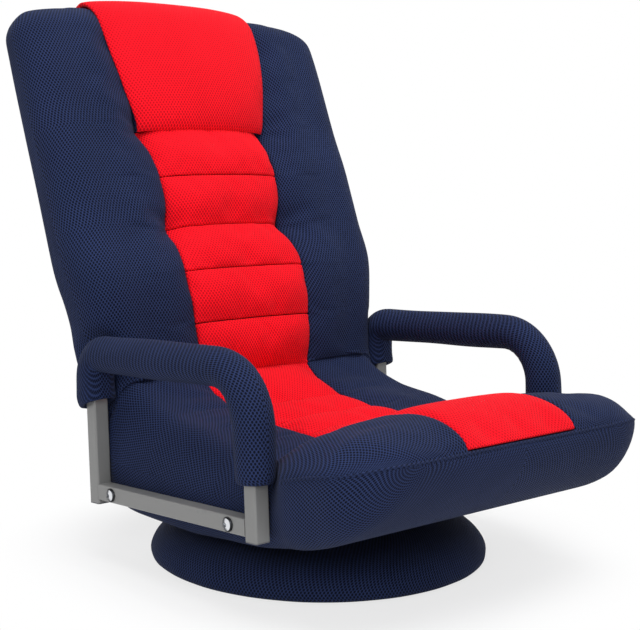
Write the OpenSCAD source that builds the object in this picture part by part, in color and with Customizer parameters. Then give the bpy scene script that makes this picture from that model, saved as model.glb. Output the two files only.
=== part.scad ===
// Swivel floor chair: a padded seat and a reclining back on a round swivel base, with two tube armrests.
// The origin is on the floor, on the swivel axis. The front of the chair faces -Y.

/* [Base] */
// Widest radius of the padded base
base_r = 214; // [190:1:240]
// Height of the padded base
base_h = 54; // [50:1:56]
// How far the flat cover under the base stops short of the base's widest radius
floor_cover_in = 14; // [12:1:28]
// Thickness of the flat cover under the base
floor_cover_t = 3; // [2:0.5:4]
// Distance from the base's widest radius in to the middle of the base ring's tube
base_ring_in = 28; // [26:1:44]
// Outer radius of the base ring's tube
base_tube_r = 11; // [9:0.5:12]
// Width of the two flat bars that cross the base ring
spider_w = 40; // [30:1:60]
// Thickness of the crossed bars
spider_t = 4; // [3:0.5:6]

/* [Swivel] */
// Height of the underside of the lower swivel plate
swivel_z = 46; // [44:0.5:47]
// Radius of both swivel plates
swivel_r = 85; // [80:1:95]
// Thickness of both swivel plates
swivel_t = 2.5; // [2:0.5:3]
// Distance from the underside of the lower plate to the top of the upper plate
swivel_h = 16; // [16:0.5:20]
// Radius of the circle through the balls
ball_pitch_r = 52; // [45:1:58]
// Radius of one ball
ball_r = 4; // [3:0.5:4.5]
// Number of balls
ball_count = 18; // [12:1:22]
// Radius of the centre rivet's shank
rivet_r = 10; // [8:0.5:14]

/* [Seat frame] */
// Outer radius of the seat frame's tube
seat_tube_r = 10; // [9:0.5:11]
// Distance from the middle plane to a side tube
seat_tube_x = 213; // [200:1:215]
// Place of the front tube ahead of the front arm post
seat_front_run = 52; // [20:1:60]
// Place of the rear tube behind the rear arm bolts
seat_rear_reach = 31; // [30:1:33]
// Bend radius of the seat frame's corners
seat_bend_r = 25; // [20:1:25]
// Width of one elastic band
band_w = 34; // [25:1:34]
// Thickness of one elastic band
band_t = 2; // [1:0.5:3]

/* [Seat cushion] */
// Height of the cushion's underside above the floor, at its middle
seat_under_z = 58; // [57:0.5:60]
// Height of the lowest part of the sitting surface
dish_z = 177; // [165:1:190]
// Rise of the sitting surface from its dish to the back
dish_rise = 38; // [20:1:45]
// Rise of the front roll above the dish
roll_rise = 55; // [30:1:70]
// Half the width of the seat cushion between the arms
seat_half_w = 231; // [228:0.5:231]
// Distance from the swivel axis to the tip of the nose
nose_y = 342; // [320:1:360]
// Distance from the swivel axis to the rear wall
seat_rear_y = 168; // [160:1:175]
// Depth of the sewn channels of seat and back
channel_depth = 9; // [3:1:14]
// Half the width of the red seat panel
seat_panel_w = 93; // [70:1:110]

/* [Back] */
// Lean of the back from upright, as shown
back_lean = 22; // [18:0.5:28]
// Distance of the recline axis behind the swivel axis
pivot_y = 155; // [150:1:160]
// Height of the recline axis above the floor
pivot_z = 185; // [180:1:190]
// Length of the back from the recline axis to its top
back_len = 552; // [480:1:620]
// Half the width of the back above the arms
back_half_w = 252; // [235:1:260]
// Half the width of the back between the arms
back_waist_w = 214; // [210:0.5:216]
// Radius of the back's rounded lower end
back_end_r = 46; // [42:1:48]
// Outer radius of the back frame's tube
back_tube_r = 9.5; // [8:0.5:10]
// Distance from the middle plane to a side tube of the back
back_tube_x = 196; // [185:1:198]
// Bend radius of the back frame's top corners
back_bend_r = 60; // [40:1:90]

/* [Ratchet hinge] */
// Radius of the ratchet plate over its teeth
ratchet_r = 33; // [28:0.5:34]
// Depth of one notch
notch_depth = 5; // [3:0.5:6]
// Angle from one notch to the next
notch_step = 17; // [15:0.1:17]
// Thickness of the ratchet plate and of the pawl
ratchet_t = 5; // [4:0.5:6]
// Thickness of one cheek of the seat bracket
cheek_t = 3; // [2:0.5:4]
// Radius of the recline pin
pivot_pin_r = 5; // [4:0.5:6]
// Radius of the pawl's pin
pawl_pin_r = 3; // [2.5:0.5:4]
// Length of the pawl from its pin to its nose
pawl_len = 22; // [18:1:24]

/* [Armrests] */
// Distance from the widest side of the seat out to the middle of the arm tube
arm_gap = 10.6; // [9:0.2:17]
// Width of the square arm tube
arm_tube_w = 20; // [18:0.5:20]
// Wall of the square arm tube
arm_wall = 1.5; // [1:0.5:2.5]
// Distance of the front post ahead of the swivel axis
arm_front_y = 172.5; // [165:0.5:180]
// Height of the middle of the rail at the front post
arm_rail_z = 110.9; // [108:0.1:114]
// Slope of the rail, with its front end higher
arm_tilt = 3.69; // [3:0.01:4]
// Distance between the middles of the two posts
arm_len = 313; // [305:1:320]
// Distance from the middle of the rail to the middle of the top bar
arm_h = 171.7; // [160:0.1:200]
// Bend radius of the front top corner
arm_front_bend = 64; // [45:1:80]
// Bend radius of the rear top corner
arm_rear_bend = 24; // [24:1:50]
// Outer radius of the padded sleeve
sleeve_r = 23; // [18:0.5:23]
// Height of the sleeve's front end above the rail
sleeve_front_z = 48; // [40:1:70]
// Height of the sleeve's rear end above the rail
sleeve_rear_z = 108; // [100:1:125]
// Distance from a post to the nearer bolt
bolt_inset = 39; // [30:1:60]
// Radius of an arm bolt's shank
bolt_r = 4; // [3:0.5:4.5]

/* [Hidden] */

$fn = 48;
// Gap between foam or fabric and what it covers
ease = 0.3;
// Gap between a pin and its bore
fit = 0.05;
// Overrun of a cut past the face that it goes through
over = 1;

function smooth(a, b, v) = let (t = min(1, max(0, (v - a) / (b - a)))) t * t * (3 - 2 * t);
function bell(v, middle, width) = exp(-pow((v - middle) / width, 2));
function mix(a, b, t) = a + (b - a) * t;
// How far a round corner draws in at a run past its start
function corner_inset(run, r) = run > 0 ? r - sqrt(max(0, r * r - run * run)) : 0;

// Turns a drawing in X and Y into one in Y and Z, and its height into X
module yz() rotate([90, 0, 90]) children();
module both_sides() {
    children();
    mirror([1, 0, 0]) children();
}
// The tilted plane of the arm rails and the seat frame, with its origin at the front posts
module in_rail_plane() translate([0, -arm_front_y, arm_rail_z]) rotate([-arm_tilt, 0, 0]) children();
// The back's own frame: X across, Y through its thickness to the rear, Z up along it from the recline axis
module in_back() translate([0, pivot_y, pivot_z]) rotate([-back_lean, 0, 0]) children();
function rail_plane_z(y) = arm_rail_z - (y + arm_front_y) * tan(arm_tilt);

// Faces of a solid made of closed rings of n points, capped at both ends
function ring_faces(rings, n) = concat(
    [for (i = [0 : rings - 2]) for (j = [0 : n - 1])
        let (a = i * n + j, b = i * n + (j + 1) % n) each [[a, a + n, b], [b, a + n, b + n]]],
    [for (j = [1 : n - 2]) [0, j, j + 1]],
    [for (j = [1 : n - 2]) let (e = (rings - 1) * n) [e, e + j + 1, e + j]]
);
module ring_solid(rings) polyhedron(
    points = [for (ring = rings) each ring],
    faces = ring_faces(len(rings), len(rings[0])),
    convexity = 8
);
// Shares of the half width at which a cushion has points: over its face, under it, and for a plain side
face_shares = [-1, -0.97, -0.9, -0.78, -0.64, -0.52, -0.44, -0.36, -0.2,
    0, 0.2, 0.36, 0.44, 0.52, 0.64, 0.78, 0.9, 0.97, 1];
under_shares = [0.985, 0.93, 0.8, 0.4, -0.4, -0.8, -0.93, -0.985];
edge_shares = [-1, 1];

// Base

arm_x = seat_half_w + arm_gap;
floor_cover_r = base_r - floor_cover_in;
base_ring_r = base_r - base_ring_in;
// Room inside the base's foam, which clears both the flat cover and the ring
base_room_r = max(floor_cover_r, base_ring_r + base_tube_r) + ease;
// Height of the widest part of the base
base_waist_z = 14;
// Radius of the rounded shoulder of the base
base_shoulder_r = base_h - base_waist_z;
// Radius of the swivel's well in the base
base_well_room = 8;
base_well_r = swivel_r + base_well_room;
// Gap between the base's foam and the steel below it
base_room = 0.8;
spider_z = swivel_z - spider_t;
base_ring_z = floor_cover_t + base_tube_r + ease;
spider_low_z = base_ring_z + base_tube_r;
spider_slope_r = base_ring_r - 2 * base_tube_r;

module base_cover() color("#23262e") cylinder(r = floor_cover_r, h = floor_cover_t);

module base_cushion() color("#24325f") rotate_extrude($fn = 96) difference() {
    union() {
        translate([base_r - base_shoulder_r, base_waist_z]) intersection() {
            circle(r = base_shoulder_r);
            square(base_shoulder_r);
        }
        translate([base_r - base_waist_z, base_waist_z]) circle(r = base_waist_z);
        translate([base_well_r, 0]) square([base_r - base_waist_z - base_well_r, base_waist_z]);
        translate([base_well_r, 0]) square([base_r - base_shoulder_r - base_well_r, base_h]);
    }
    polygon([
        [0, -over],
        [base_room_r, -over],
        [base_room_r, spider_low_z + spider_t + base_room],
        [spider_slope_r, spider_low_z + spider_t + base_room],
        [base_well_r + base_room, swivel_z + base_room],
        [0, swivel_z + base_room]
    ]);
}

module base_ring() color("#3c3f45") translate([0, 0, base_ring_z]) rotate_extrude($fn = 96)
    translate([base_ring_r, 0]) difference() {
        circle(r = base_tube_r);
        circle(r = base_tube_r - arm_wall);
    }

function bar_side() = [
    [swivel_r, spider_z], [spider_slope_r, spider_low_z], [base_ring_r, spider_low_z],
    [base_ring_r, spider_low_z + spider_t], [spider_slope_r, spider_low_z + spider_t],
    [swivel_r, swivel_z]
];

module base_spider() color("#3c3f45") difference() {
    for (turn = [0, 90]) rotate([0, 0, turn]) translate([-spider_w / 2, 0, 0]) yz() linear_extrude(spider_w)
        polygon(concat(bar_side(), [for (i = [5 : -1 : 0]) [-bar_side()[i].x, bar_side()[i].y]]));
    translate([0, 0, spider_z - over]) cylinder(r = rivet_r + 4 * swivel_t, h = spider_t + 2 * over);
    lower_bolt_places() translate([0, 0, spider_z - over]) cylinder(r = plate_bolt_r + ease, h = spider_t + 2 * over);
}

// Swivel

// Radius of the bolts through both swivel plates
plate_bolt_r = 3;
// Radius of their heads, and the height of a head or nut
plate_head_r = 5.5;
plate_head_h = 3;
plate_nut_h = 5;
swivel_top = swivel_z + swivel_h;
ball_z = swivel_z + swivel_h / 2;
// Half the width of a race, and the gap between the two races
race_w_share = 1.9;
race_gap_share = 0.75;
cage_w_share = 1.5;
race_half_w = ball_r * race_w_share;
race_gap = ball_r * race_gap_share;
lower_bolt_r = swivel_r - 2 * plate_head_r;
// Place of the carrier's two straps ahead of and behind the axis, and of a bolt along a strap
strap_y = 52;
strap_bolt_x = 50;
strap_w = 30;
strap_t = 4;

module lower_bolt_places() for (turn = [0 : 90 : 270]) rotate([0, 0, turn]) translate([lower_bolt_r, 0, 0]) children();
module upper_bolt_places() for (sx = [1, -1]) for (sy = [1, -1]) translate([sx * strap_bolt_x, sy * strap_y, 0])
    children();
module ball_places() for (i = [0 : ball_count - 1]) rotate([0, 0, 360 * i / ball_count])
    translate([ball_pitch_r, 0, ball_z]) children();

// One plate with its raised race, its open face up
module race_plate() difference() {
    rotate_extrude($fn = 96) difference() {
        union() {
            translate([rivet_r + fit, 0]) square([swivel_r - rivet_r - fit, swivel_t]);
            translate([ball_pitch_r - race_half_w, 0]) square([2 * race_half_w, (swivel_h - race_gap) / 2]);
        }
        translate([ball_pitch_r, swivel_h / 2]) circle(r = ball_r + fit);
    }
    children();
}
module swivel_lower_plate() color("#8a8d92") translate([0, 0, swivel_z]) race_plate()
    lower_bolt_places() translate([0, 0, -over]) cylinder(r = plate_bolt_r + ease, h = swivel_t + 2 * over);
module swivel_upper_plate() color("#8a8d92") translate([0, 0, swivel_top]) mirror([0, 0, 1]) race_plate()
    upper_bolt_places() translate([0, 0, -over]) cylinder(r = plate_bolt_r + ease, h = swivel_t + 2 * over);
module swivel_balls() color("#c9ccd1") ball_places() sphere(r = ball_r, $fn = 24);
module swivel_ball_cage() color("#b08d3c") difference() {
    translate([0, 0, ball_z - race_gap / 4]) rotate_extrude($fn = 96)
        translate([ball_pitch_r - cage_w_share * ball_r, 0]) square([2 * cage_w_share * ball_r, race_gap / 2]);
    ball_places() translate([0, 0, -ball_r]) cylinder(r = ball_r + ease, h = 2 * ball_r);
}
module swivel_rivet() color("#8a8d92") rotate_extrude($fn = 96) difference() {
    union() {
        translate([0, swivel_z - swivel_t]) square([rivet_r, swivel_h + 2 * swivel_t]);
        translate([0, swivel_z - swivel_t]) square([rivet_r + 2 * swivel_t, swivel_t]);
        translate([0, swivel_top + fit]) square([rivet_r + 2 * swivel_t, swivel_t]);
    }
    translate([0, swivel_z - 2 * swivel_t]) square([rivet_r / 2, swivel_h + 4 * swivel_t]);
}
module plate_bolt(grip) {
    translate([0, 0, -grip - plate_nut_h]) cylinder(r = plate_bolt_r, h = grip + plate_nut_h + over);
    difference() {
        cylinder(r = plate_head_r, h = plate_head_h);
        translate([0, 0, plate_head_h / 2]) cylinder(r = plate_bolt_r, h = plate_head_h, $fn = 6);
    }
}
module plate_nut() difference() {
    cylinder(r = plate_head_r, h = plate_nut_h, $fn = 6);
    translate([0, 0, -over]) cylinder(r = plate_bolt_r + fit, h = plate_nut_h + 2 * over);
}
module swivel_lower_bolts() color("#c9ccd1") lower_bolt_places() translate([0, 0, swivel_z + swivel_t])
    plate_bolt(swivel_t + spider_t);
module swivel_lower_nuts() color("#8a8d92") lower_bolt_places() translate([0, 0, spider_z - plate_nut_h]) plate_nut();
module swivel_upper_bolts() color("#c9ccd1") upper_bolt_places() translate([0, 0, swivel_top - swivel_t])
    mirror([0, 0, 1]) plate_bolt(swivel_t + strap_t);
module swivel_upper_nuts() color("#8a8d92") upper_bolt_places() translate([0, 0, swivel_top + strap_t]) plate_nut();

// Seat frame

module tube(r, wall, h) difference() {
    cylinder(r = r, h = h);
    translate([0, 0, -over]) cylinder(r = r - wall, h = h + 2 * over);
}
module tube_bend(r, wall, bend, turn) rotate([0, 0, turn]) rotate_extrude(angle = 90) translate([bend, 0])
    difference() {
        circle(r = r);
        circle(r = r - wall);
    }

frame_wall = 1.5;
// Place of the bolts through rail and side tube, along the rail
function bolt_run(i) = i == 0 ? bolt_inset : arm_len - bolt_inset;
seat_rear_run = bolt_run(1) + seat_rear_reach;
module arm_bolt_places() in_rail_plane() for (i = [0, 1]) translate([0, bolt_run(i), 0]) rotate([0, 90, 0]) children();

module seat_frame() color("#3c3f45") difference() {
    in_rail_plane() {
        both_sides() {
            translate([seat_tube_x, -seat_front_run + seat_bend_r, 0]) rotate([-90, 0, 0])
                tube(seat_tube_r, frame_wall, seat_front_run + seat_rear_run - 2 * seat_bend_r);
            translate([seat_tube_x - seat_bend_r, seat_rear_run - seat_bend_r, 0])
                tube_bend(seat_tube_r, frame_wall, seat_bend_r, 0);
            translate([seat_tube_x - seat_bend_r, -seat_front_run + seat_bend_r, 0])
                tube_bend(seat_tube_r, frame_wall, seat_bend_r, -90);
        }
        for (y = [-seat_front_run, seat_rear_run]) translate([-seat_tube_x + seat_bend_r, y, 0]) rotate([0, 90, 0])
            tube(seat_tube_r, frame_wall, 2 * (seat_tube_x - seat_bend_r));
    }
    both_sides() arm_bolt_places() cylinder(r = bolt_r + fit, h = arm_x);
}

// Straps that hang from the side tubes and carry the swivel's upper plate
strap_flat_x = 160;
strap_foot_in = 12;
strap_foot_x = seat_tube_x - strap_foot_in;
function strap_foot_z(y) = rail_plane_z(y) - seat_tube_r / cos(arm_tilt) - strap_w / 2 * tan(arm_tilt);
function strap_side(foot_z) = [
    [strap_flat_x, swivel_top], [strap_foot_x, foot_z - strap_t], [seat_tube_x + seat_tube_r / 2, foot_z - strap_t],
    [seat_tube_x + seat_tube_r / 2, foot_z], [strap_foot_x - strap_t / 2, foot_z],
    [strap_flat_x - strap_t / 2, swivel_top + strap_t]
];
module seat_carrier() color("#3c3f45") difference() {
    for (y = [-strap_y, strap_y]) let (side = strap_side(strap_foot_z(y)))
        translate([0, y + strap_w / 2, 0]) rotate([90, 0, 0]) linear_extrude(strap_w)
            polygon(concat(side, [for (i = [len(side) - 1 : -1 : 0]) [-side[i].x, side[i].y]]));
    upper_bolt_places() translate([0, 0, swivel_top - over]) cylinder(r = plate_bolt_r + ease, h = strap_t + 2 * over);
    translate([0, 0, swivel_top - over]) cylinder(r = rivet_r + 3 * swivel_t, h = strap_t + 2 * over);
}

// Place of each band of the seat, behind the front arm posts
seat_band_runs = [12, 62, 154, 191];
// A loop of elastic round two round tubes, from -x to x
module band_loop(x, r) translate([0, 0, -band_w / 2]) linear_extrude(band_w) difference() {
    band_outline(x, r + band_t);
    band_outline(x, r + fit);
}
module band_outline(x, r) {
    for (side = [1, -1]) translate([side * x, 0]) circle(r = r);
    square([2 * x, 2 * r], center = true);
}
module seat_bands() color("#1c1c20") in_rail_plane() for (y = seat_band_runs)
    translate([0, y, 0]) rotate([90, 0, 0]) band_loop(seat_tube_x, seat_tube_r);

// Seat cushion

// Room in the back's foam for its frame and bands, from the middle plane and from the frame's plane
back_room_x = back_tube_x + back_tube_r + band_t + ease;
back_room_t = back_tube_r + band_t + ease;
// Slot in both cushions for a hinge: its inner side, width, reach ahead of the recline axis, end, and height
slot_w = 28;
slot_x = back_room_x - slot_w;
slot_front = 62;
slot_rear = 3;
slot_h = 88;
// Place of each sewn channel line across the seat, from the back to the front roll
seat_seams = [118, 50, -18, -80, -136];
roll_seam_y = seat_seams[4];
// Radius of the cushion's corners in plan, length of its round nose, and height of the nose's tip
nose_corner_r = 58;
nose_len = 78;
nose_z = 197;
// How much wider the seat is ahead of the arms, and the run over which it widens
nose_flare = 16;
flare_run = 46;
// Height of the widest line of the seat's side, and the place from which it rises to the nose
side_z = 126;
side_rise_y = -70;
// How far the front sleeve presses the cushion in, the gap left, and the heights over which it fades
press_gap = 0.7;
leg_press = seat_half_w - (arm_x - sleeve_r) + press_gap;
press_near = 28;
press_far = 54;
press_low_z = 134;
press_high_z = 152;
// Half widths of a sewn groove, of the step at a panel's edge, and of the dip along that edge
groove_w = 6;
panel_step_w = 8;
panel_dip_w = 9;
panel_dip_share = 0.5;
// Share of the channel depth that is left beside the seat's panel
side_groove_share = 0.35;
// Bolster along each side of the seat and of the back: its middle, half width and rise on the seat
bolster_x = 168;
bolster_w = 50;
seat_bolster_rise = 10;
// Runs over which the dish rises to the back, the bolster fades, and the roll rises
dish_from_y = -90;
dish_to_y = 148;
bolster_run = 60;
roll_to_y = -250;
roll_side_drop = 8;
// Rise of the underside towards the front, and the run over which it is reached
under_rise = 60;
under_run = 300;
// Powers that shape the round of the sides and of the nose
top_side_power = 0.3;
under_side_power = 0.1;
nose_top_power = 1.15;
nose_under_power = 0.8;
rear_power = 0.5;
// Radius of the round of the rear wall
rear_round = 30;

function seat_half(y) = seat_half_w
    + nose_flare * smooth(-arm_front_y - sleeve_r, -arm_front_y - sleeve_r - flare_run, y)
    - corner_inset(-nose_y + nose_corner_r - y, nose_corner_r);
function rear_share(y) = pow(round_end((y - seat_rear_y + rear_round) / rear_round), rear_power);
function nose_share(y) = round_end((-nose_y + nose_len - y) / nose_len);
function seat_groove(y) = max([for (s = seat_seams) bell(y, s, groove_w)]);
function in_seat_panel(x) = 1 - smooth(seat_panel_w - panel_step_w, seat_panel_w + panel_step_w, abs(x));
function seat_top_z(x, y) = dish_z
    + dish_rise * smooth(dish_from_y, dish_to_y, y)
    + roll_rise * smooth(roll_seam_y, roll_to_y, y)
    - channel_depth * seat_groove(y) * mix(side_groove_share, 1, in_seat_panel(x))
    - channel_depth * panel_dip_share * bell(abs(x), seat_panel_w, panel_dip_w)
    + seat_bolster_rise * bell(abs(x), bolster_x, bolster_w) * smooth(roll_seam_y, roll_seam_y + bolster_run, y)
    - roll_side_drop * pow(x / seat_half_w, 2) * (1 - smooth(roll_seam_y - bolster_run, roll_seam_y, y));
function seat_under(y) = seat_under_z + (y < 0 ? under_rise * pow(y / under_run, 2) : 0);
function seat_side_z(y) = side_z + (nose_z - side_z) * smooth(side_rise_y, -nose_y, y);
function press_in(y, z) = leg_press * smooth(press_low_z, press_high_z, z)
    * smooth(-arm_front_y - press_far, -arm_front_y - press_near, y)
    * (1 - smooth(-arm_front_y + press_near, -arm_front_y + press_far, y));
function seat_vertex(y, share, upper) = let (
    x = seat_half(y) * share,
    round_share = sqrt(max(0, 1 - share * share)),
    edge_z = seat_side_z(y),
    top = edge_z + (seat_top_z(x, y) - edge_z) * pow(nose_share(y), nose_top_power) * rear_share(y),
    under = edge_z + (seat_under(y) - edge_z) * pow(nose_share(y), nose_under_power) * rear_share(y),
    z = upper ? mix(edge_z, top, pow(round_share, top_side_power))
              : mix(edge_z, under, pow(round_share, under_side_power))
) [x - sign(x) * press_in(y, z), y, z];
function seat_ring(y, face, under) = concat(
    [for (share = face) seat_vertex(y, share, true)],
    [for (share = under) seat_vertex(y, share, false)]
);
// Shares of the run from one channel line to the next at which a cushion has a station
channel_shares = [0, 0.12, 0.38, 0.62, 0.88];
roll_shares = [0, 0.12, 0.3, 0.5, 0.75];
// Angles of the stations round the rear wall
rear_wall_angles = [80, 62, 35, 0];
function seat_stations() = concat(
    [for (a = rear_wall_angles) seat_rear_y - rear_round + rear_round * sin(a)],
    [for (i = [0 : 3]) for (t = channel_shares) mix(seat_seams[i], seat_seams[i + 1], t)],
    [for (t = roll_shares) mix(roll_seam_y, -nose_y + nose_len, t)],
    [for (a = [0 : 14 : 84]) -nose_y + nose_len - nose_len * sin(a)]
);
// The seat's shape from one place to another, with fewer points on a side that a panel doesn't need
module seat_form(from = -nose_y, to = seat_rear_y, face = face_shares, under = under_shares)
    ring_solid([for (i = [len(seat_stations()) - 1 : -1 : 0]) let (y = seat_stations()[i])
        if (y >= from && y <= to) seat_ring(y, face, under)]);

// Stretch of a cushion's shape kept past the ends of a panel that is cut from it
seat_room_y = 40;
// Cuts that both panels and cushion share
welt_z = 204;
panel_floor_drop = 40;
module seat_panel_block(gap) translate([-seat_panel_w - gap, 0, 0]) yz() linear_extrude(2 * (seat_panel_w + gap))
    polygon([
        [roll_seam_y - gap, dish_z - panel_floor_drop - gap],
        [seat_seams[0] + gap, dish_z - panel_floor_drop - gap],
        [seat_seams[0] + gap, dish_z + 2 * roll_rise],
        [roll_seam_y - gap, dish_z + 2 * roll_rise]
    ]);
module roll_panel_block(gap) translate([-seat_panel_w - gap, 0, 0]) yz() linear_extrude(2 * (seat_panel_w + gap))
    polygon([
        [-nose_y - over, welt_z + over - gap],
        [roll_seam_y - ease, dish_z - panel_floor_drop - gap],
        [roll_seam_y - ease, dish_z + 2 * roll_rise],
        [-nose_y - over, dish_z + 2 * roll_rise]
    ]);
// Room in the foam for the frame's tubes and bands
frame_room = seat_tube_r + band_t + ease;
module seat_frame_room() in_rail_plane() translate([-seat_tube_x - frame_room, -seat_front_run - frame_room, -frame_room])
    cube([2 * (seat_tube_x + frame_room), seat_front_run + seat_rear_run + 2 * frame_room, 2 * frame_room]);
// Well under the frame for the carrier and the swivel, closed below by the bottom cover
cover_t = 3;
cover_reach = 3;
cover_x = strap_flat_x + cover_reach;
well_room = 1;
well_x = seat_tube_x + seat_tube_r / 2 + well_room;
well_y = 122;
well_foot_z = strap_foot_z(strap_y) - 2 * strap_t;
module seat_well() translate([0, well_y, 0]) rotate([90, 0, 0]) linear_extrude(2 * well_y) polygon([
    [-well_x, well_foot_z], [-cover_x, seat_under_z + cover_t], [-cover_x, seat_under_z - over],
    [cover_x, seat_under_z - over], [cover_x, seat_under_z + cover_t], [well_x, well_foot_z],
    [well_x, rail_plane_z(0)], [-well_x, rail_plane_z(0)]
]);
module seat_end_cut() translate([-2 * arm_x, pivot_y, pivot_z]) {
    rotate([0, 90, 0]) cylinder(r = back_end_r + 2 * ease, h = 4 * arm_x, $fn = 96);
    translate([0, 0, -back_end_r - 2 * ease]) cube([4 * arm_x, seat_rear_y, back_end_r]);
}
// The foam stops short of the back's lower end, above the height of the recline axis
lip_y = seat_seams[0];
module seat_lip_cut() translate([-2 * arm_x, lip_y, pivot_z]) cube([4 * arm_x, seat_rear_y, 2 * roll_rise]);
module hinge_slots() both_sides() translate([slot_x, slot_from, rail_plane_z(pivot_y)])
    cube([slot_w, slot_to - slot_from, slot_h]);

module seat_cushion() color("#24325f") difference() {
    seat_form();
    seat_panel_block(ease);
    roll_panel_block(ease);
    seat_frame_room();
    seat_well();
    seat_end_cut();
    seat_lip_cut();
    hinge_slots();
    both_sides() arm_bolt_places() cylinder(r = bolt_r + ease, h = arm_x + over);
}
module seat_red_panel() color("#e0202f") difference() {
    intersection() {
        seat_form(from = roll_seam_y - seat_room_y, under = []);
        seat_panel_block(0);
    }
    seat_end_cut();
}
module seat_roll_panel() color("#e0202f") intersection() {
    seat_form(to = roll_seam_y + seat_room_y, under = []);
    roll_panel_block(0);
}
module seat_bottom_cover() color("#23262e") difference() {
    intersection() {
        seat_form(from = -well_y - seat_room_y, to = well_y + seat_room_y, face = edge_shares);
        translate([-cover_x + ease, -well_y + ease, seat_under_z - over])
            cube([2 * (cover_x - ease), 2 * (well_y - ease), cover_t + over - ease]);
    }
    translate([0, 0, seat_under_z - 2 * over]) cylinder(r = base_well_r, h = cover_t + 4 * over, $fn = 96);
}

// Ratchet hinge

hinge_x = back_tube_x;
// Half the space between the two cheeks
cheek_room = 1;
cheek_in = ratchet_t / 2 + cheek_room;
cheek_out = cheek_in + cheek_t;
cheek_head_r = 16;
// Direction from the recline axis to the pawl's nose, below the front horizontal
nose_angle = 80;
// The pawl is drawn just clear of the teeth
pawl_clear = 0.4;
nose_reach = ratchet_r + pawl_clear;
nose_p = [pivot_y - nose_reach * cos(nose_angle), pivot_z - nose_reach * sin(nose_angle)];
pawl_p = [nose_p.x - pawl_len * sin(nose_angle), nose_p.y + pawl_len * cos(nose_angle)];
// Rear tube of the seat frame, where the bracket stands
rear_tube_y = -arm_front_y + seat_rear_run * cos(arm_tilt);
bracket_half = 16;
bracket_rear = 8;
rear_tube_top = rail_plane_z(rear_tube_y - bracket_half) + seat_tube_r / cos(arm_tilt) + fit;
pawl_boss_r = 8;
// Ends of the slot in the seat's foam, which clears the bracket wherever the rear tube is
slot_from = min(pivot_y - slot_front, rear_tube_y - bracket_half - slot_rear);
slot_to = max(pivot_y + slot_rear, rear_tube_y + bracket_rear + slot_rear);

module in_hinge() both_sides() translate([hinge_x, 0, 0]) children();
module hinge_sheet(t) translate([-t / 2, 0, 0]) yz() linear_extrude(t) children();
module cheek_outline() difference() {
    union() {
        polygon([
            [rear_tube_y - bracket_half, rear_tube_top],
            [rear_tube_y + bracket_rear, rear_tube_top],
            [pivot_y + cheek_head_r * cos(30), pivot_z - cheek_head_r * sin(30)],
            [pivot_y - cheek_head_r * cos(60), pivot_z + cheek_head_r * sin(60)],
            [pawl_p.x - pawl_boss_r * cos(45), pawl_p.y + pawl_boss_r * sin(45)],
            [pawl_p.x - pawl_boss_r, pawl_p.y]
        ]);
        translate([pivot_y, pivot_z]) circle(r = cheek_head_r);
        translate(pawl_p) circle(r = pawl_boss_r);
    }
    translate([pivot_y, pivot_z]) circle(r = pivot_pin_r + fit);
    translate(pawl_p) circle(r = pawl_pin_r + fit);
}
module hinge_brackets() color("#3c3f45") in_hinge() {
    for (side = [1, -1]) translate([side * (cheek_in + cheek_t / 2), 0, 0]) hinge_sheet(cheek_t) cheek_outline();
    translate([-cheek_out, rear_tube_y - bracket_half, rear_tube_top])
        cube([2 * cheek_out, bracket_half + bracket_rear, cheek_t]);
}
pin_head_share = 1.5;
pin_head_h = cheek_t / 2;
// A pin with a head outside each cheek, the inner one long enough to carry a spring where there is one
module headed_pin(r, at, inner_h) translate([0, at.x, at.y]) rotate([0, 90, 0]) {
    translate([0, 0, -cheek_out - fit - inner_h]) cylinder(r = pin_head_share * r, h = inner_h);
    translate([0, 0, -cheek_out - inner_h]) cylinder(r = r, h = 2 * cheek_out + inner_h + pin_head_h);
    translate([0, 0, cheek_out + fit]) cylinder(r = pin_head_share * r, h = pin_head_h);
}
// Torsion spring round the pawl's pin, outside the inner cheek
spring_ring_count = 8;
spring_wire_r = 0.6;
spring_turns = 3;
spring_pitch = 1.5;
spring_r = (pawl_pin_r * pin_head_share + fit) / cos(180 / spring_ring_count) + spring_wire_r;
spring_len = spring_turns * spring_pitch + 2 * spring_wire_r;
module pivot_pins() color("#8a8d92") in_hinge() headed_pin(pivot_pin_r, [pivot_y, pivot_z], pin_head_h);
module pawl_pins() color("#8a8d92") in_hinge() headed_pin(pawl_pin_r, pawl_p, spring_len + 2 * ease);

// Notches lie at the pawl's nose for each stop of the back, from the most upright to flat
stops = [-1 : 1 : 4];
notch_side = 38;
notch_half = notch_depth * tan(notch_side);
module ratchet_outline() difference() {
    union() {
        translate([pivot_y, pivot_z]) circle(r = ratchet_r);
        translate([pivot_y, pivot_z]) rotate([0, 0, -back_lean])
            translate([-back_tube_r, 0]) square([2 * back_tube_r, back_tube_start]);
    }
    translate([pivot_y, pivot_z]) {
        circle(r = pivot_pin_r + fit);
        for (i = stops) rotate([0, 0, 180 + nose_angle + notch_step * i]) polygon([
            [ratchet_r - notch_depth, -over / 2], [ratchet_r + over, -notch_half - over / 2],
            [ratchet_r + over, notch_half + over / 2], [ratchet_r - notch_depth, over / 2]
        ]);
    }
}
module ratchet_plates() color("#8a8d92") in_hinge() hinge_sheet(ratchet_t) ratchet_outline();

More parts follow.
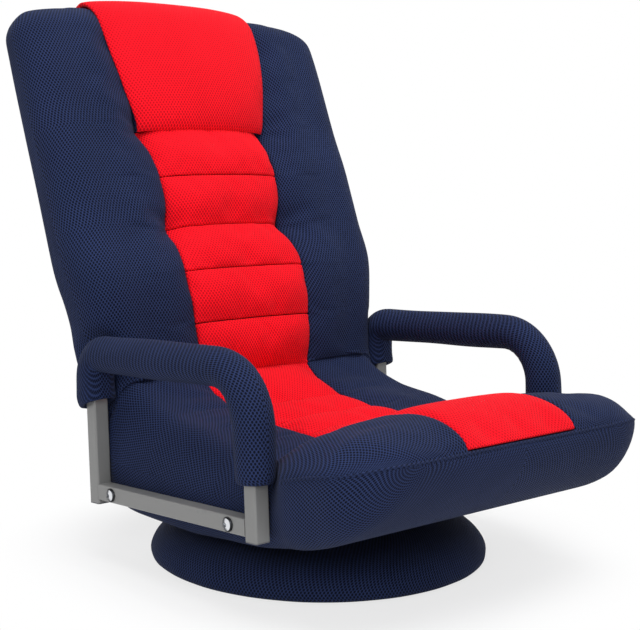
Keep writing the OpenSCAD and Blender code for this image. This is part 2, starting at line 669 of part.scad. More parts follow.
// Half width of the pawl's flat nose, and how far its arm spreads at the heel and the toe
nose_half = 0.4;
nose_base = 2.7;
nose_share_of_notch = 0.8;
pawl_heel_share = 0.6;
pawl_toe_share = 0.95;
module pawl_outline() difference() {
    union() {
        translate(pawl_p) circle(r = pawl_boss_r - over);
        translate(pawl_p) rotate([0, 0, nose_angle - 90]) polygon([
            [0, -pawl_boss_r * pawl_heel_share], [pawl_len, -pawl_boss_r * pawl_toe_share],
            [pawl_len + nose_base, -notch_depth * nose_share_of_notch], [pawl_len + nose_half, 0],
            [pawl_len - nose_half, 0], [pawl_len - nose_base, -notch_depth * nose_share_of_notch],
            [0, -nose_half]
        ]);
    }
    translate(pawl_p) circle(r = pawl_pin_r + fit);
}
module pawl_left() color("#8a8d92") translate([hinge_x, 0, 0]) hinge_sheet(ratchet_t) pawl_outline();
module pawl_right() color("#8a8d92") mirror([1, 0, 0]) translate([hinge_x, 0, 0]) hinge_sheet(ratchet_t) pawl_outline();

function spring_ring(i) = let (a = 360 * i / spring_ring_count) [for (j = [0 : 5]) let (
    r = spring_r + spring_wire_r * cos(60 * j)
) [-cheek_out - ease - spring_wire_r * (1 + sin(60 * j)) - spring_pitch * a / 360,
    pawl_p.x + r * cos(a), pawl_p.y + r * sin(a)]];
module pawl_springs() color("#c9ccd1") in_hinge()
    ring_solid([for (i = [0 : spring_turns * spring_ring_count]) spring_ring(i)]);

// Armrests

arm_half = arm_tube_w / 2;
post_foot = 4;
arm_post_drop = arm_half + post_foot;
arm_corner_r = 2.5;
cap_t = 1.5;
cap_plug = 8;
module rounded_square(w, r) {
    square([w - 2 * r, w], center = true);
    square([w, w - 2 * r], center = true);
    for (sx = [1, -1]) for (sy = [1, -1]) translate([sx * (w / 2 - r), sy * (w / 2 - r)]) circle(r = r);
}
// Sweeps a centred outline up the front post, over the top and down the rear post
module along_arm(front_z, rear_z) {
    translate([0, 0, front_z]) linear_extrude(arm_h - arm_front_bend - front_z) children();
    translate([0, arm_len, rear_z]) linear_extrude(arm_h - arm_rear_bend - rear_z) children();
    translate([0, arm_front_bend, arm_h]) rotate([-90, 0, 0])
        linear_extrude(arm_len - arm_front_bend - arm_rear_bend) children();
    yz() translate([arm_front_bend, arm_h - arm_front_bend, 0]) rotate([0, 0, 90])
        rotate_extrude(angle = 90) translate([arm_front_bend, 0]) children();
    yz() translate([arm_len - arm_rear_bend, arm_h - arm_rear_bend, 0])
        rotate_extrude(angle = 90) translate([arm_rear_bend, 0]) children();
}
module in_arm(side) in_rail_plane() translate([side * arm_x, 0, 0]) children();
module arm_frame(side) color("#8b8c8e") difference() {
    in_arm(side) {
        along_arm(-arm_post_drop, -arm_post_drop) rounded_square(arm_tube_w, arm_corner_r);
        translate([0, arm_half, 0]) rotate([-90, 0, 0]) linear_extrude(arm_len - arm_tube_w)
            rounded_square(arm_tube_w, arm_corner_r);
    }
    in_arm(side) {
        along_arm(-arm_post_drop - over, -arm_post_drop - over)
            square(arm_tube_w - 2 * arm_wall, center = true);
        translate([0, arm_half + over, 0]) rotate([-90, 0, 0]) linear_extrude(arm_len - arm_tube_w - 2 * over)
            square(arm_tube_w - 2 * arm_wall, center = true);
    }
    in_rail_plane() for (i = [0, 1]) translate([side * (arm_x - arm_tube_w), bolt_run(i), 0])
        rotate([0, side * 90, 0]) cylinder(r = bolt_r + ease, h = 2 * arm_tube_w);
}
module arm_sleeve(side) color("#24325f") in_arm(side) difference() {
    along_arm(sleeve_front_z, sleeve_rear_z) circle(r = sleeve_r);
    along_arm(sleeve_front_z - over, sleeve_rear_z - over) square(arm_tube_w + 2 * fit, center = true);
}
module arm_frame_left() arm_frame(1);
module arm_frame_right() arm_frame(-1);
module arm_sleeve_left() arm_sleeve(1);
module arm_sleeve_right() arm_sleeve(-1);
module arm_end_caps() color("#77787a") for (side = [1, -1]) in_arm(side) for (y = [0, arm_len])
    translate([0, y, -arm_post_drop - cap_t]) {
        linear_extrude(cap_t) rounded_square(arm_tube_w, arm_corner_r);
        linear_extrude(cap_t + cap_plug) square(arm_tube_w - 2 * arm_wall - 2 * fit, center = true);
    }

// Radii of the bolt's head and washer, and their heights
bolt_head_r = 7;
bolt_head_h = 3.5;
socket_share = 0.7;
washer_r = 8.5;
washer_t = 1.2;
weld_nut_h = 7;
arm_out = arm_x + arm_half;
nut_in = seat_tube_x - seat_tube_r - weld_nut_h;
module arm_bolts() color("#d5d8dc") both_sides() arm_bolt_places() difference() {
    union() {
        translate([0, 0, nut_in]) cylinder(r = bolt_r, h = arm_out + washer_t - nut_in + over);
        translate([0, 0, arm_out + washer_t]) intersection() {
            cylinder(r = bolt_head_r, h = bolt_head_h);
            translate([0, 0, bolt_head_h - 2 * bolt_head_r]) sphere(r = 2 * bolt_head_r);
        }
    }
    translate([0, 0, arm_out + washer_t + over]) cylinder(r = bolt_r * socket_share, h = bolt_head_h, $fn = 6);
}
module arm_washers() color("#d5d8dc") both_sides() arm_bolt_places() translate([0, 0, arm_out]) difference() {
    cylinder(r = washer_r, h = washer_t);
    translate([0, 0, -over]) cylinder(r = bolt_r + ease, h = washer_t + 2 * over);
}
module arm_weld_nuts() color("#8a8d92") both_sides() arm_bolt_places() translate([0, 0, nut_in]) difference() {
    cylinder(r = 2 * bolt_r, h = weld_nut_h, $fn = 6);
    translate([0, 0, -over]) cylinder(r = bolt_r + fit, h = weld_nut_h + 2 * over);
}

// Back frame

back_tube_start = 70;
back_tube_drop = 42;
back_tube_end = back_len - back_tube_drop;
rod_r = 4;
module back_frame() color("#3c3f45") in_back() {
    both_sides() {
        translate([back_tube_x, 0, back_tube_start])
            tube(back_tube_r, frame_wall, back_tube_end - back_bend_r - back_tube_start);
        translate([back_tube_x - back_bend_r, 0, back_tube_end - back_bend_r]) rotate([90, 0, 0])
            tube_bend(back_tube_r, frame_wall, back_bend_r, 0);
    }
    translate([-back_tube_x + back_bend_r, 0, back_tube_end]) rotate([0, 90, 0])
        tube(back_tube_r, frame_wall, 2 * (back_tube_x - back_bend_r));
}
module back_rods() color("#3c3f45") in_back() for (s = back_rod_places) translate([-back_tube_x + back_tube_r, 0, s])
    rotate([0, 90, 0]) cylinder(r = rod_r, h = 2 * (back_tube_x - back_tube_r));
back_rod_places = [95, 330];
back_band_places = [150, 215, 280, 395];
module back_bands() color("#1c1c20") in_back() for (s = back_band_places) translate([0, 0, s])
    band_loop(back_tube_x, back_tube_r);

// Back cushion

// Place of each sewn line along the back, from the crease to the head pillow, and the panel's half width there
back_seams = [26, 90, 160, 226, 294, 368];
panel_half_w = [92, 97, 100, 95, 99, 104];
pillow_half_w = [104, 117, 127, 131];
pillow_w_shares = [0, 0.3, 0.7, 1];
// Depth of the front of the back at the crease, the loin, and the head, and of its rear, low and high
crease_depth = 36;
loin_depth = 68;
head_depth = 46;
rear_low_depth = 46;
rear_high_depth = 23;
pillow_crown = 20;
pillow_crown_w = 80;
back_bolster_rise = 9;
top_corner_r = 62;
top_round = 38;
front_side_power = 0.36;
rear_side_power = 0.22;
// Dimples where the panel is pinched in
tuft_depth = 8;
tuft_w = 16;
// Share of the channel depth that is left beside the back's panel
back_groove_share = 0.25;
// Runs over which the back widens: at its front above the arms, and behind the rear posts
front_wide = [98, 185];
rear_wide = [14, 170];
// Runs over which the loin fills out and the rear thins, and how far the lower end draws in
loin_from = back_seams[0];
loin_to = 100;
rear_thin = [60, 190];
rear_end_s = 40;
end_draw = 8;

function back_half(s, wide) = mix(back_waist_w, back_half_w, smooth(wide[0], wide[1], s))
    - corner_inset(s - back_len + top_corner_r, top_corner_r);
function round_end(run) = run > 0 ? sqrt(max(0, 1 - run * run)) : 1;
function top_share(s) = round_end((s - back_len + top_round) / top_round);
function end_share(s) = round_end(-s / back_end_r);
function panel_edge(s) = lookup(s, concat(
    [for (i = [0 : 5]) [back_seams[i], panel_half_w[i]]],
    [for (i = [1 : 3]) [mix(back_seams[5], back_len, pillow_w_shares[i]), pillow_half_w[i]]]
));
function back_groove(s) = max([for (c = back_seams) bell(s, c, groove_w)]);
function in_back_panel(x, s) = 1 - smooth(panel_edge(s) - panel_step_w, panel_edge(s) + panel_step_w, abs(x));
function tufts(s) = bell(s, back_seams[3], tuft_w) + bell(s, back_seams[5], tuft_w);
function back_front(x, s) = let (panel = in_back_panel(x, s)) (s < back_seams[0]
    ? mix(back_end_r, crease_depth, smooth(0, back_seams[0], s))
    : crease_depth + (loin_depth - crease_depth) * smooth(loin_from, loin_to, s)
        - (loin_depth - head_depth) * smooth(back_seams[2], back_seams[5], s)
        - channel_depth * back_groove(s) * mix(back_groove_share, 1, panel)
        - channel_depth * panel_dip_share * bell(abs(x), panel_edge(s), panel_dip_w)
        + back_bolster_rise * bell(abs(x), bolster_x, bolster_w) * smooth(back_seams[1], back_seams[2], s)
        + pillow_crown * panel * bell(s, (back_seams[5] + back_len) / 2, pillow_crown_w)
        - tuft_depth * bell(abs(x), panel_edge(s), 2 * panel_dip_w) * tufts(s));
function back_rear(s) = s < rear_end_s ? back_end_r
    : rear_low_depth - (rear_low_depth - rear_high_depth) * smooth(rear_thin[0], rear_thin[1], s);
function back_vertex(s, share, front) = let (
    w = back_half(s, front ? front_wide : rear_wide) - end_draw * (1 - end_share(s)),
    x = w * share,
    round_share = sqrt(max(0, 1 - share * share)),
    cap = top_share(s) * end_share(s),
    depth = front ? -back_front(x, s) * pow(round_share, front_side_power)
                  : back_rear(s) * pow(round_share, rear_side_power)
) [x, depth * cap, s];
function back_ring(s, face, under) = concat(
    [for (share = face) back_vertex(s, share, true)],
    [for (share = under) back_vertex(s, share, false)]
);
pillow_shares = [0, 0.08, 0.3, 0.55, 0.8];
function back_stations() = concat(
    [for (a = [81 : -27 : 0]) -back_end_r * sin(a)],
    [for (i = [0 : 4]) for (t = channel_shares) mix(back_seams[i], back_seams[i + 1], t)],
    [for (t = pillow_shares) mix(back_seams[5], back_len - top_round, t)],
    [for (a = [0 : 20 : 80]) back_len - top_round + top_round * sin(a)]
);
module back_form(from = -back_end_r, to = back_len, face = face_shares, under = under_shares)
    in_back() ring_solid([for (s = back_stations()) if (s >= from && s <= to) back_ring(s, face, under)]);

// Depth to which the red panels are set into the cushion
panel_set = 14;
module panel_block(outline, gap) in_back() translate([0, -panel_set + gap, 0]) rotate([90, 0, 0])
    linear_extrude(3 * loin_depth) offset_outline(outline, gap);
module offset_outline(outline, gap) polygon(concat(
    [for (i = [0 : len(outline) - 1]) [outline[i].x + gap, outline[i].y
        + (i == 0 ? -gap : i == len(outline) - 1 ? gap : 0)]],
    [for (i = [len(outline) - 1 : -1 : 0]) [-outline[i].x - gap, outline[i].y
        + (i == 0 ? -gap : i == len(outline) - 1 ? gap : 0)]]
));
channel_outline = [for (i = [0 : 5]) [panel_half_w[i], back_seams[i] + (i == 5 ? -ease : 0)]];
pillow_outline = concat(
    [for (i = [0 : 3]) [pillow_half_w[i], mix(back_seams[5], back_len, pillow_w_shares[i])]],
    [[pillow_half_w[3], back_len + over]]
);
rear_panel_t = back_room_t;
module back_frame_room() in_back() translate([-back_room_x, -back_room_t, back_end_r])
    cube([2 * back_room_x, 3 * loin_depth, back_tube_end + back_room_t - back_end_r]);
// Room for the bracket of the seat over the whole swing of the back
swing_low = 172;
swing_high = 20;
hinge_room_r = 60;
module hinge_room() both_sides() translate([slot_x, pivot_y, pivot_z]) yz() {
    cylinder(r = ratchet_r + slot_rear, h = slot_w);
    rotate([0, 0, 180 - swing_high]) linear_extrude(slot_w) polygon([
        for (a = [0 : (swing_high + swing_low) / 6 : swing_high + swing_low]) hinge_room_r * [cos(a), sin(a)],
        [0, 0]
    ]);
    rotate([0, 0, 90 - back_lean]) translate([0, -back_tube_r - 2 * over, 0])
        cube([back_end_r + over, 2 * (back_tube_r + 2 * over), slot_w]);
}
module back_cushion() color("#24325f") difference() {
    back_form();
    panel_block(channel_outline, ease);
    panel_block(pillow_outline, ease);
    back_frame_room();
    hinge_room();
}
module back_red_panel() color("#e0202f") intersection() {
    back_form(from = 0, to = back_seams[5] + seat_room_y, under = []);
    panel_block(channel_outline, 0);
}
module head_pillow() color("#e0202f") intersection() {
    back_form(from = back_seams[5] - seat_room_y, under = []);
    panel_block(pillow_outline, 0);
}
module back_rear_panel() color("#24325f") intersection() {
    back_form(from = 0, face = edge_shares);
    in_back() translate([-back_room_x + ease, rear_panel_t, back_end_r + ease])
        cube([2 * (back_room_x - ease), 3 * loin_depth, back_tube_end + back_room_t - back_end_r - 2 * ease]);
}

base_cover();
base_cushion();
base_ring();
base_spider();
swivel_lower_plate();
swivel_balls();
swivel_ball_cage();
swivel_upper_plate();
swivel_rivet();
swivel_lower_bolts();
swivel_lower_nuts();
swivel_upper_bolts();
swivel_upper_nuts();
seat_frame();
seat_carrier();
seat_bands();
seat_cushion();
seat_red_panel();
seat_roll_panel();
seat_bottom_cover();
hinge_brackets();
pivot_pins();
pawl_pins();
pawl_springs();
arm_frame_left();
arm_frame_right();
arm_sleeve_left();
arm_sleeve_right();
arm_end_caps();
arm_bolts();
arm_washers();
arm_weld_nuts();
pawl_left();
pawl_right();
back_frame();
back_rods();
back_bands();
ratchet_plates();
back_cushion();
back_red_panel();
head_pillow();
back_rear_panel();
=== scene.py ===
"""Upholstery, sleeves, base, finishes and studio of a swivel floor chair.

Lengths in the tables are millimetres, with the front of the chair towards -Y, and
every mesh is made in metres.
"""
import math

import bpy
import numpy as np
from mathutils import Matrix, Vector


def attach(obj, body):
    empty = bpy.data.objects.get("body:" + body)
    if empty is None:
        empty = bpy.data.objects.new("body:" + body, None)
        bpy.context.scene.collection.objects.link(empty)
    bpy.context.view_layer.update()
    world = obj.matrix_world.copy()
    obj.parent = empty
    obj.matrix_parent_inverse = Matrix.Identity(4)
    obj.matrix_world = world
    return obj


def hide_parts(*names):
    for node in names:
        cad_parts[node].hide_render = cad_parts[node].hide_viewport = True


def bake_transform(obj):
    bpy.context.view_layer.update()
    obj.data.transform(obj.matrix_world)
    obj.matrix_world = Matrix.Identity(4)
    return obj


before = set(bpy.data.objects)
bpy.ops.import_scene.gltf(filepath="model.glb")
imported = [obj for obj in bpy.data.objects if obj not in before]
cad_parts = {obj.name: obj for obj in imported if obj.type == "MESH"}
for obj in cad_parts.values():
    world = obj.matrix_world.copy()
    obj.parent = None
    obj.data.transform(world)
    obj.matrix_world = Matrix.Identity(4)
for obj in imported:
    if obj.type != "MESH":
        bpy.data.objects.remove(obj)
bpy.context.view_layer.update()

bl_info = {
    "name": "Swivel floor chair",
    "version": (1, 0, 0),
    "blender": (4, 5, 0),
    "location": "3D View > Sidebar > Floor Chair",
    "description": "Covers, panels, sleeves, base and finishes of a swivel floor chair",
    "category": "Object",
}

MM = 0.001

# The back's own axes, in Y and Z: its hinge, the way up along it, and the way to its rear
HINGE = np.array([155.0, 185.0])
LEAN = math.radians(22)
ALONG = np.array([math.sin(LEAN), math.cos(LEAN)])
REARWARD = np.array([math.cos(LEAN), -math.sin(LEAN)])
BACK_TOP, CAP = 552.0, 38.0

# Place along the back, and a depth ahead of or behind the frame's plane, or a half width
BACK_EDGE = [(24, 36), (60, 52), (90, 59), (125, 66), (160, 67), (195, 58), (226, 43), (260, 54), (294, 57),
             (330, 50), (368, 36), (400, 44), (450, 48), (500, 46), (552, 38)]
BACK_MIDDLE = [(24, 38), (90, 64), (160, 72), (226, 56), (294, 64), (368, 50), (450, 62), (500, 60),
               (552, 50)]
BACK_SIDE = [(24, 40), (90, 60), (160, 70), (226, 64), (294, 64), (368, 58), (450, 56), (520, 50), (552, 40)]
BACK_REAR = [(24, 46), (59, 47), (91, 43), (120, 33), (156, 27), (346, 23), (440, 22), (505, 19.5), (552, 18)]
BACK_HALF = [(0, 231), (40, 231), (74, 235), (119, 241), (147, 246.5), (181, 251.9), (200, 252.7),
             (552, 252.7)]
PANEL_HALF = [(24, 92), (90, 97), (160, 100), (226, 95), (294, 99), (368, 104), (429, 117), (490, 127),
              (552, 131)]
# Seams across the back's red panel, and those that are drawn in at both ends
BACK_SEAMS = [26, 90, 160, 226, 294, 368]
PINCHED = [226, 368]

# Place ahead of the swivel axis (minus Y), and a height or a half width. SEAT_SQUARE is a power instead: the
# section below the widest line is an ellipse at 1 and squarer below it
SEAT_TOP = [(-131, 221), (-120, 213), (-108, 207), (-76, 195), (-50, 188), (0, 182), (18, 181), (45, 181),
            (80, 180), (117, 178), (136, 171), (160, 186), (190, 208), (220, 224), (258, 233), (272, 234)]
SEAT_SIDE_RISE = [(-131, 1), (-76, 4), (0, 6), (50, -1), (80, -3), (117, -3), (136, 1), (160, -3),
                  (190, -5), (220, -7), (258, -8), (272, -7)]
SEAT_SIDE_DROOP = [(-131, 0), (80, 3), (136, 6), (200, 16), (258, 24), (272, 24)]
SEAT_UNDER = [(-131, 58), (-115, 56.6), (-16, 57), (74, 65), (117, 69), (196, 84), (248, 99), (272, 109)]
SEAT_EDGE = [(-131, 125), (80, 125), (120, 134), (185, 163), (232, 176), (272, 187)]
SEAT_SQUARE = [(-131, 1), (80, 0.8), (150, 0.5), (200, 0.6), (250, 1)]
SEAT_HALF = [(-131, 230.5), (172, 230.5), (190, 234), (215, 243), (235, 246), (272, 246)]
SEAT_SEAMS = [-131, -50, 18, 80, 136]
NOSE_Y, NOSE_LEN, NOSE_HIGH, WELT_Z = -272.0, 66.0, 31.0, 203.0
# Share of the turn over the nose, and Y and Z of the line below it
NOSE_UNDER = [(0, -272, 109), (.25, -298, 124.5), (.45, -316, 140.5), (.62, -330, 158), (.8, -340.5, 181),
              (.92, -342, 193), (1, -339, 202)]
# Radius of the nose's corners as seen from above, and the place from which its seam has a welt
NOSE_CORNER = 62.0
WELT_START = 186
# Rear of the cover from the back's lower end down to the seat's underside, Y and Z
HEEL = [(208.1, 193.8), (200, 176), (190, 160), (178, 143), (171, 128), (168, 110), (167, 90), (164, 75),
        (154, 63), (131, 58)]
# Half sizes of the opening in the seat's underside that the black cloth closes
OPEN_X, OPEN_Y = 152.0, 114.0
# Radius of the back's upper corners, how far its sides fall there, and the height over which they come to it
BACK_CORNER, BACK_FALL, FALL_HIGH = 40, 12, 110
# Distances from the middle at which a side has risen in full, the seat's droop starts, and the back's fall
# starts, with the width over which it grows
SIDE_FULL, DROOP_START, FALL_START, FALL_WIDE = 168, 165, 130, 120
# Reach of the dip beside a long seam, and depth and reach of the pinch at the end of a drawn-in seam
DIP_REACH, PINCH_DEEP, PINCH_REACH = 6, 6, 15
# Puckers round a pinch: their height, their number, their distance from it and their reach
PUCKER_HIGH, PUCKERS, PUCKER_FAR, PUCKER_REACH = 1.3, 6, 22, 13

# The armrest in the plane of its rail: tilt, place of the front post, length, height and bends
ARM_X, ARM_FRONT, ARM_RAIL_Z, ARM_TILT = 241.6, -172.5, 110.9, math.radians(3.69)
ARM_LEN, ARM_H, ARM_FRONT_BEND, ARM_REAR_BEND, ARM_TUBE = 313.0, 171.7, 64.0, 24.0, 20.0
SLEEVE_FRONT, SLEEVE_REAR = 48.0, 108.0

# Columns of the cover: shares of the panel's half width, shares from there to the rounded side, and angles
# round that side
RED_SHARES = [0, .1, .2, .3, .4, .5, .6, .7, .8, .88, .94, .975, 1]
NAVY_SHARES = [.03, .08, .16, .26, .37, .48, .6, .72, .84, .93, 1]
SIDE_ANGLES = [15, 30, 45, 60, 75, 90]
RED = len(RED_SHARES) - 1
MIDDLE = RED + len(NAVY_SHARES) + len(SIDE_ANGLES)
ACROSS = 2 * MIDDLE + 1
RING = 2 * ACROSS - 2
# Outer columns that stay in place while the cover is filled
FIRM = len(SIDE_ANGLES) + 4


def linear(r, g, b):
    """Scene-linear colour of a screen colour."""
    shares = (c / 255 for c in (r, g, b))
    return tuple(c / 12.92 if c <= 0.04045 else ((c + 0.055) / 1.055) ** 2.4 for c in shares)


class ChairSizes(bpy.types.PropertyGroup):
    """Sizes of the upholstery."""
    channel_crown: bpy.props.FloatProperty(
        name="Channel crown", description="Rise of a sewn channel between its seams",
        default=0.008, min=0.0, max=0.015, unit="LENGTH", subtype="DISTANCE")
    edge_dip: bpy.props.FloatProperty(
        name="Edge dip", description="Depth to which the seam along a red panel is pulled in",
        default=0.004, min=0.0, max=0.01, unit="LENGTH", subtype="DISTANCE")
    shell: bpy.props.FloatProperty(
        name="Padding", description="Thickness of the padded cover over the foam",
        default=0.006, min=0.003, max=0.008, unit="LENGTH", subtype="DISTANCE")
    swell: bpy.props.FloatProperty(
        name="Swell", description="Furthest that the padding swells as it is filled",
        default=0.005, min=0.0, max=0.012, unit="LENGTH", subtype="DISTANCE")
    sleeve_radius: bpy.props.FloatProperty(
        name="Sleeve radius", description="Outer radius of an armrest sleeve",
        default=0.0232, min=0.018, max=0.025, unit="LENGTH", subtype="DISTANCE")
    welt_radius: bpy.props.FloatProperty(
        name="Welt radius", description="Radius of the cord sewn round the seat",
        default=0.0022, min=0.001, max=0.004, unit="LENGTH", subtype="DISTANCE")


class ChairColours(bpy.types.PropertyGroup):
    """Colours of the chair."""
    navy: bpy.props.FloatVectorProperty(
        name="Navy mesh", description="Colour of the threads of the navy fabric", subtype="COLOR", size=3,
        min=0, max=1, default=linear(35, 46, 80))
    red: bpy.props.FloatVectorProperty(
        name="Red mesh", description="Colour of the threads of the red fabric", subtype="COLOR", size=3,
        min=0, max=1, default=linear(240, 15, 32))
    tube: bpy.props.FloatVectorProperty(
        name="Arm paint", description="Colour of the painted arm tube", subtype="COLOR", size=3,
        min=0, max=1, default=linear(116, 116, 115))
    weave: bpy.props.FloatProperty(
        name="Weave pitch", description="Distance from one hole of the mesh fabric to the next",
        default=0.0044, min=0.002, max=0.008, unit="LENGTH", subtype="DISTANCE", precision=4)


# Curves and forms

def follow(table, v, column=1):
    """Smooth curve through a table's points, level before the first and after the last."""
    table = np.array(table, float)
    x, y = table[:, 0], table[:, column]
    v = np.asarray(v, float)
    slope = np.diff(y) / np.diff(x)
    m = np.concatenate([slope[:1], np.zeros(len(x) - 2), slope[-1:]])
    same = slope[:-1] * slope[1:] > 0
    m[1:-1][same] = 2 * (slope[:-1] * slope[1:])[same] / (slope[:-1] + slope[1:])[same]
    i = np.clip(np.searchsorted(x, v) - 1, 0, len(x) - 2)
    h = x[i + 1] - x[i]
    t = np.clip((v - x[i]) / h, 0, 1)
    return ((2 * t**3 - 3 * t**2 + 1) * y[i] + (t**3 - 2 * t**2 + t) * h * m[i]
            + (3 * t**2 - 2 * t**3) * y[i + 1] + (t**3 - t**2) * h * m[i + 1])


def ease(a, b, v):
    """0 before a, 1 after b, smooth between them."""
    t = np.clip((np.asarray(v, float) - a) / (b - a), 0, 1)
    return t * t * (3 - 2 * t)


def stations(low, high, step, seams):
    """Places from low to high, closer together beside each seam."""
    places = {low, high}
    for seam in seams:
        places |= {p for p in (seam + d for d in (-14, -7, -3, 0, 3, 7, 14)) if low <= p <= high}
    places = sorted(places)
    out = [places[0]]
    for a, b in zip(places, places[1:]):
        n = max(1, math.ceil((b - a) / step))
        out += [a + (b - a) * k / n for k in range(1, n + 1)]
    return out


def crown(v, seams):
    """Rise of a channel, from 0 at its seams to 1 between them."""
    i = np.searchsorted(seams, v) - 1
    if i < 0 or i > len(seams) - 2:
        return 0.0
    t = (v - seams[i]) / (seams[i + 1] - seams[i])
    return 1 - abs(2 * t - 1) ** 3


def in_back(s, depth):
    """Point in Y and Z at s along the back, depth ahead of its frame."""
    return HINGE + s * ALONG - depth * REARWARD


def row_of(part, at, **facts):
    """One row of the cover, plain and full unless its facts say otherwise."""
    plain = {"share": 1.0, "crown": 0.0, "droop": 0.0, "fall": 0.0, "round": 38.0, "square": 1.0}
    return {"part": part, "at": at, **plain, **facts}


def cover_rows(sizes):
    """Rows of the cover from the top of the back over the crease to the tip of the nose."""
    rise, dip, rows = sizes.channel_crown / MM, sizes.edge_dip / MM, []
    turns = [math.radians(a) for a in (84, 72, 58, 44, 28, 14)]
    caps = [(BACK_TOP - CAP + CAP * math.sin(a), math.cos(a)) for a in turns]
    for s, share in caps + [(s, 1.0) for s in reversed(stations(28, BACK_TOP - CAP, 11, BACK_SEAMS[1:]))]:
        edge, side, rear = follow(BACK_EDGE, s), follow(BACK_SIDE, s), follow(BACK_REAR, s)
        inset = max(0.0, s - BACK_TOP + BACK_CORNER)
        corner = BACK_CORNER - math.sqrt(max(0, BACK_CORNER**2 - inset**2))
        rows.append(row_of(
            "back", s, share=share, top=in_back(s, edge), out=-REARWARD, under=in_back(s, -rear),
            edge=in_back(s, (side - rear) / 2), middle=float(follow(BACK_MIDDLE, s) - edge),
            crown=rise * crown(s, BACK_SEAMS), side=float(side - edge), dip=dip,
            panel=float(follow(PANEL_HALF, s)), half=float(follow(BACK_HALF, s)) - corner, round=44.0,
            square=0.35, fall=BACK_FALL * float(ease(BACK_TOP - FALL_HIGH, BACK_TOP, s))))
    last, heel = rows[-1], np.array(HEEL)
    run = np.concatenate([[0], np.cumsum(np.linalg.norm(np.diff(heel, axis=0), axis=1))])
    first_top, first_edge = np.array([131.0, 221.0]), np.array([131.0, 125.0])
    for k in range(1, 10):
        t = k / 10
        under = np.array([np.interp(t * run[-1], run, heel[:, c]) for c in (0, 1)])
        turn = LEAN + (math.pi / 2 - LEAN) * t
        rows.append(row_of(
            "fold", t, top=last["top"] * (1 - t) + first_top * t, under=under,
            out=np.array([-math.cos(turn), math.sin(turn)]), edge=last["edge"] * (1 - t) + first_edge * t,
            middle=1.0, side=4.0, dip=0.0, panel=92.0, half=230.5, round=40.0, square=0.35 + 0.65 * t))
    for f in stations(-131, 272, 11, SEAT_SEAMS[1:]):
        rows.append(row_of(
            "seat", f, top=np.array([-f, follow(SEAT_TOP, f)]), out=np.array([0.0, 1.0]),
            under=np.array([-f, follow(SEAT_UNDER, f)]), edge=np.array([-f, follow(SEAT_EDGE, f)]),
            middle=2.0 * float(ease(-131, -90, f)), crown=rise * crown(f, SEAT_SEAMS),
            side=float(follow(SEAT_SIDE_RISE, f) + 3 * ease(-95, -131, f)),
            droop=float(follow(SEAT_SIDE_DROOP, f)), dip=dip * float(ease(-131, -100, f)), panel=90.0,
            half=float(follow(SEAT_HALF, f)), square=float(follow(SEAT_SQUARE, f))))
    for a in (9, 18, 28, 38, 48, 58, 67, 75, 82, 87):
        sn, cs = math.sin(math.radians(a)), math.cos(math.radians(a))
        y = NOSE_Y - NOSE_LEN * sn
        inset = max(0.0, NOSE_Y - 4 - y)
        out = np.array([-NOSE_HIGH * sn, NOSE_LEN * cs])
        rows.append(row_of(
            "nose", a, top=np.array([y, WELT_Z + NOSE_HIGH * cs]), out=out / np.linalg.norm(out),
            under=np.array([follow(NOSE_UNDER, a / 90, 1), follow(NOSE_UNDER, a / 90, 2)]),
            edge=np.array([y, 187 + (WELT_Z - 188) * sn**1.6]), middle=2 * cs, side=-4 * cs,
            droop=24 * cs, dip=dip * cs, panel=90.0,
            half=246 - (NOSE_CORNER - math.sqrt(max(0, NOSE_CORNER**2 - inset**2)))))
    return rows


def half_columns(row):
    """Distances from the middle plane of a row's columns, and how full the section still is there."""
    flat = row["half"] - row["round"]
    x = [row["panel"] * q for q in RED_SHARES]
    x += [row["panel"] + (flat - row["panel"]) * q for q in NAVY_SHARES]
    full = [1.0] * len(x)
    for a in SIDE_ANGLES:
        x.append(flat + row["round"] * math.sin(math.radians(a)))
        full.append(math.cos(math.radians(a)))
    return np.array(x), np.array(full)


def ring(row):
    """Closed ring of points of one row: over the face from -X to +X, and back under it."""
    a, full = half_columns(row)
    # The crown of the panel and of its channels, and the rise of the side beyond the panel's seam
    q = np.clip(a / row["panel"], 0, 1)
    t = np.clip((a - row["panel"]) / (SIDE_FULL - row["panel"]), 0, 1)
    height = np.where(a <= row["panel"], row["middle"] * (1 - q**2.4) + row["crown"] * (1 - q**4),
                      row["side"] * np.sin(math.pi / 2 * t) ** 0.8)
    # The seam along the panel is drawn in, the seat's sides droop, and some seams are drawn in at their ends
    height -= row["dip"] * np.exp(-np.abs(a - row["panel"]) / DIP_REACH)
    height -= row["droop"] * np.clip((a - DROOP_START) / (row["half"] - DROOP_START), 0, 1) ** 2
    if row["part"] == "back":
        for seam in PINCHED:
            far = np.hypot(a - row["panel"], row["at"] - seam)
            height -= PINCH_DEEP * np.exp(-(far / PINCH_REACH) ** 2)
            turn = np.arctan2(row["at"] - seam, a - row["panel"])
            puckers = PUCKER_HIGH * np.cos(PUCKERS * turn)
            height += puckers * np.exp(-((far - PUCKER_FAR) / PUCKER_REACH) ** 2)
    face = row["top"] + np.outer(height, row["out"])
    full = (full * row["share"])[:, None]
    # The back's upper corners are lower than its middle
    fall = np.outer(row["fall"] * np.clip((a - FALL_START) / FALL_WIDE, 0, 1) ** 1.6, ALONG)
    face = row["edge"] + (face - row["edge"]) * full - fall
    below = row["edge"] + (row["under"] - row["edge"]) * full ** row["square"] - fall
    right = np.column_stack([a, face])
    left = right[:0:-1] * [-1, 1, 1]
    under = np.column_stack([a, below])
    return np.vstack([left, right, under[-2::-1], (under[1:-1] * [-1, 1, 1])])


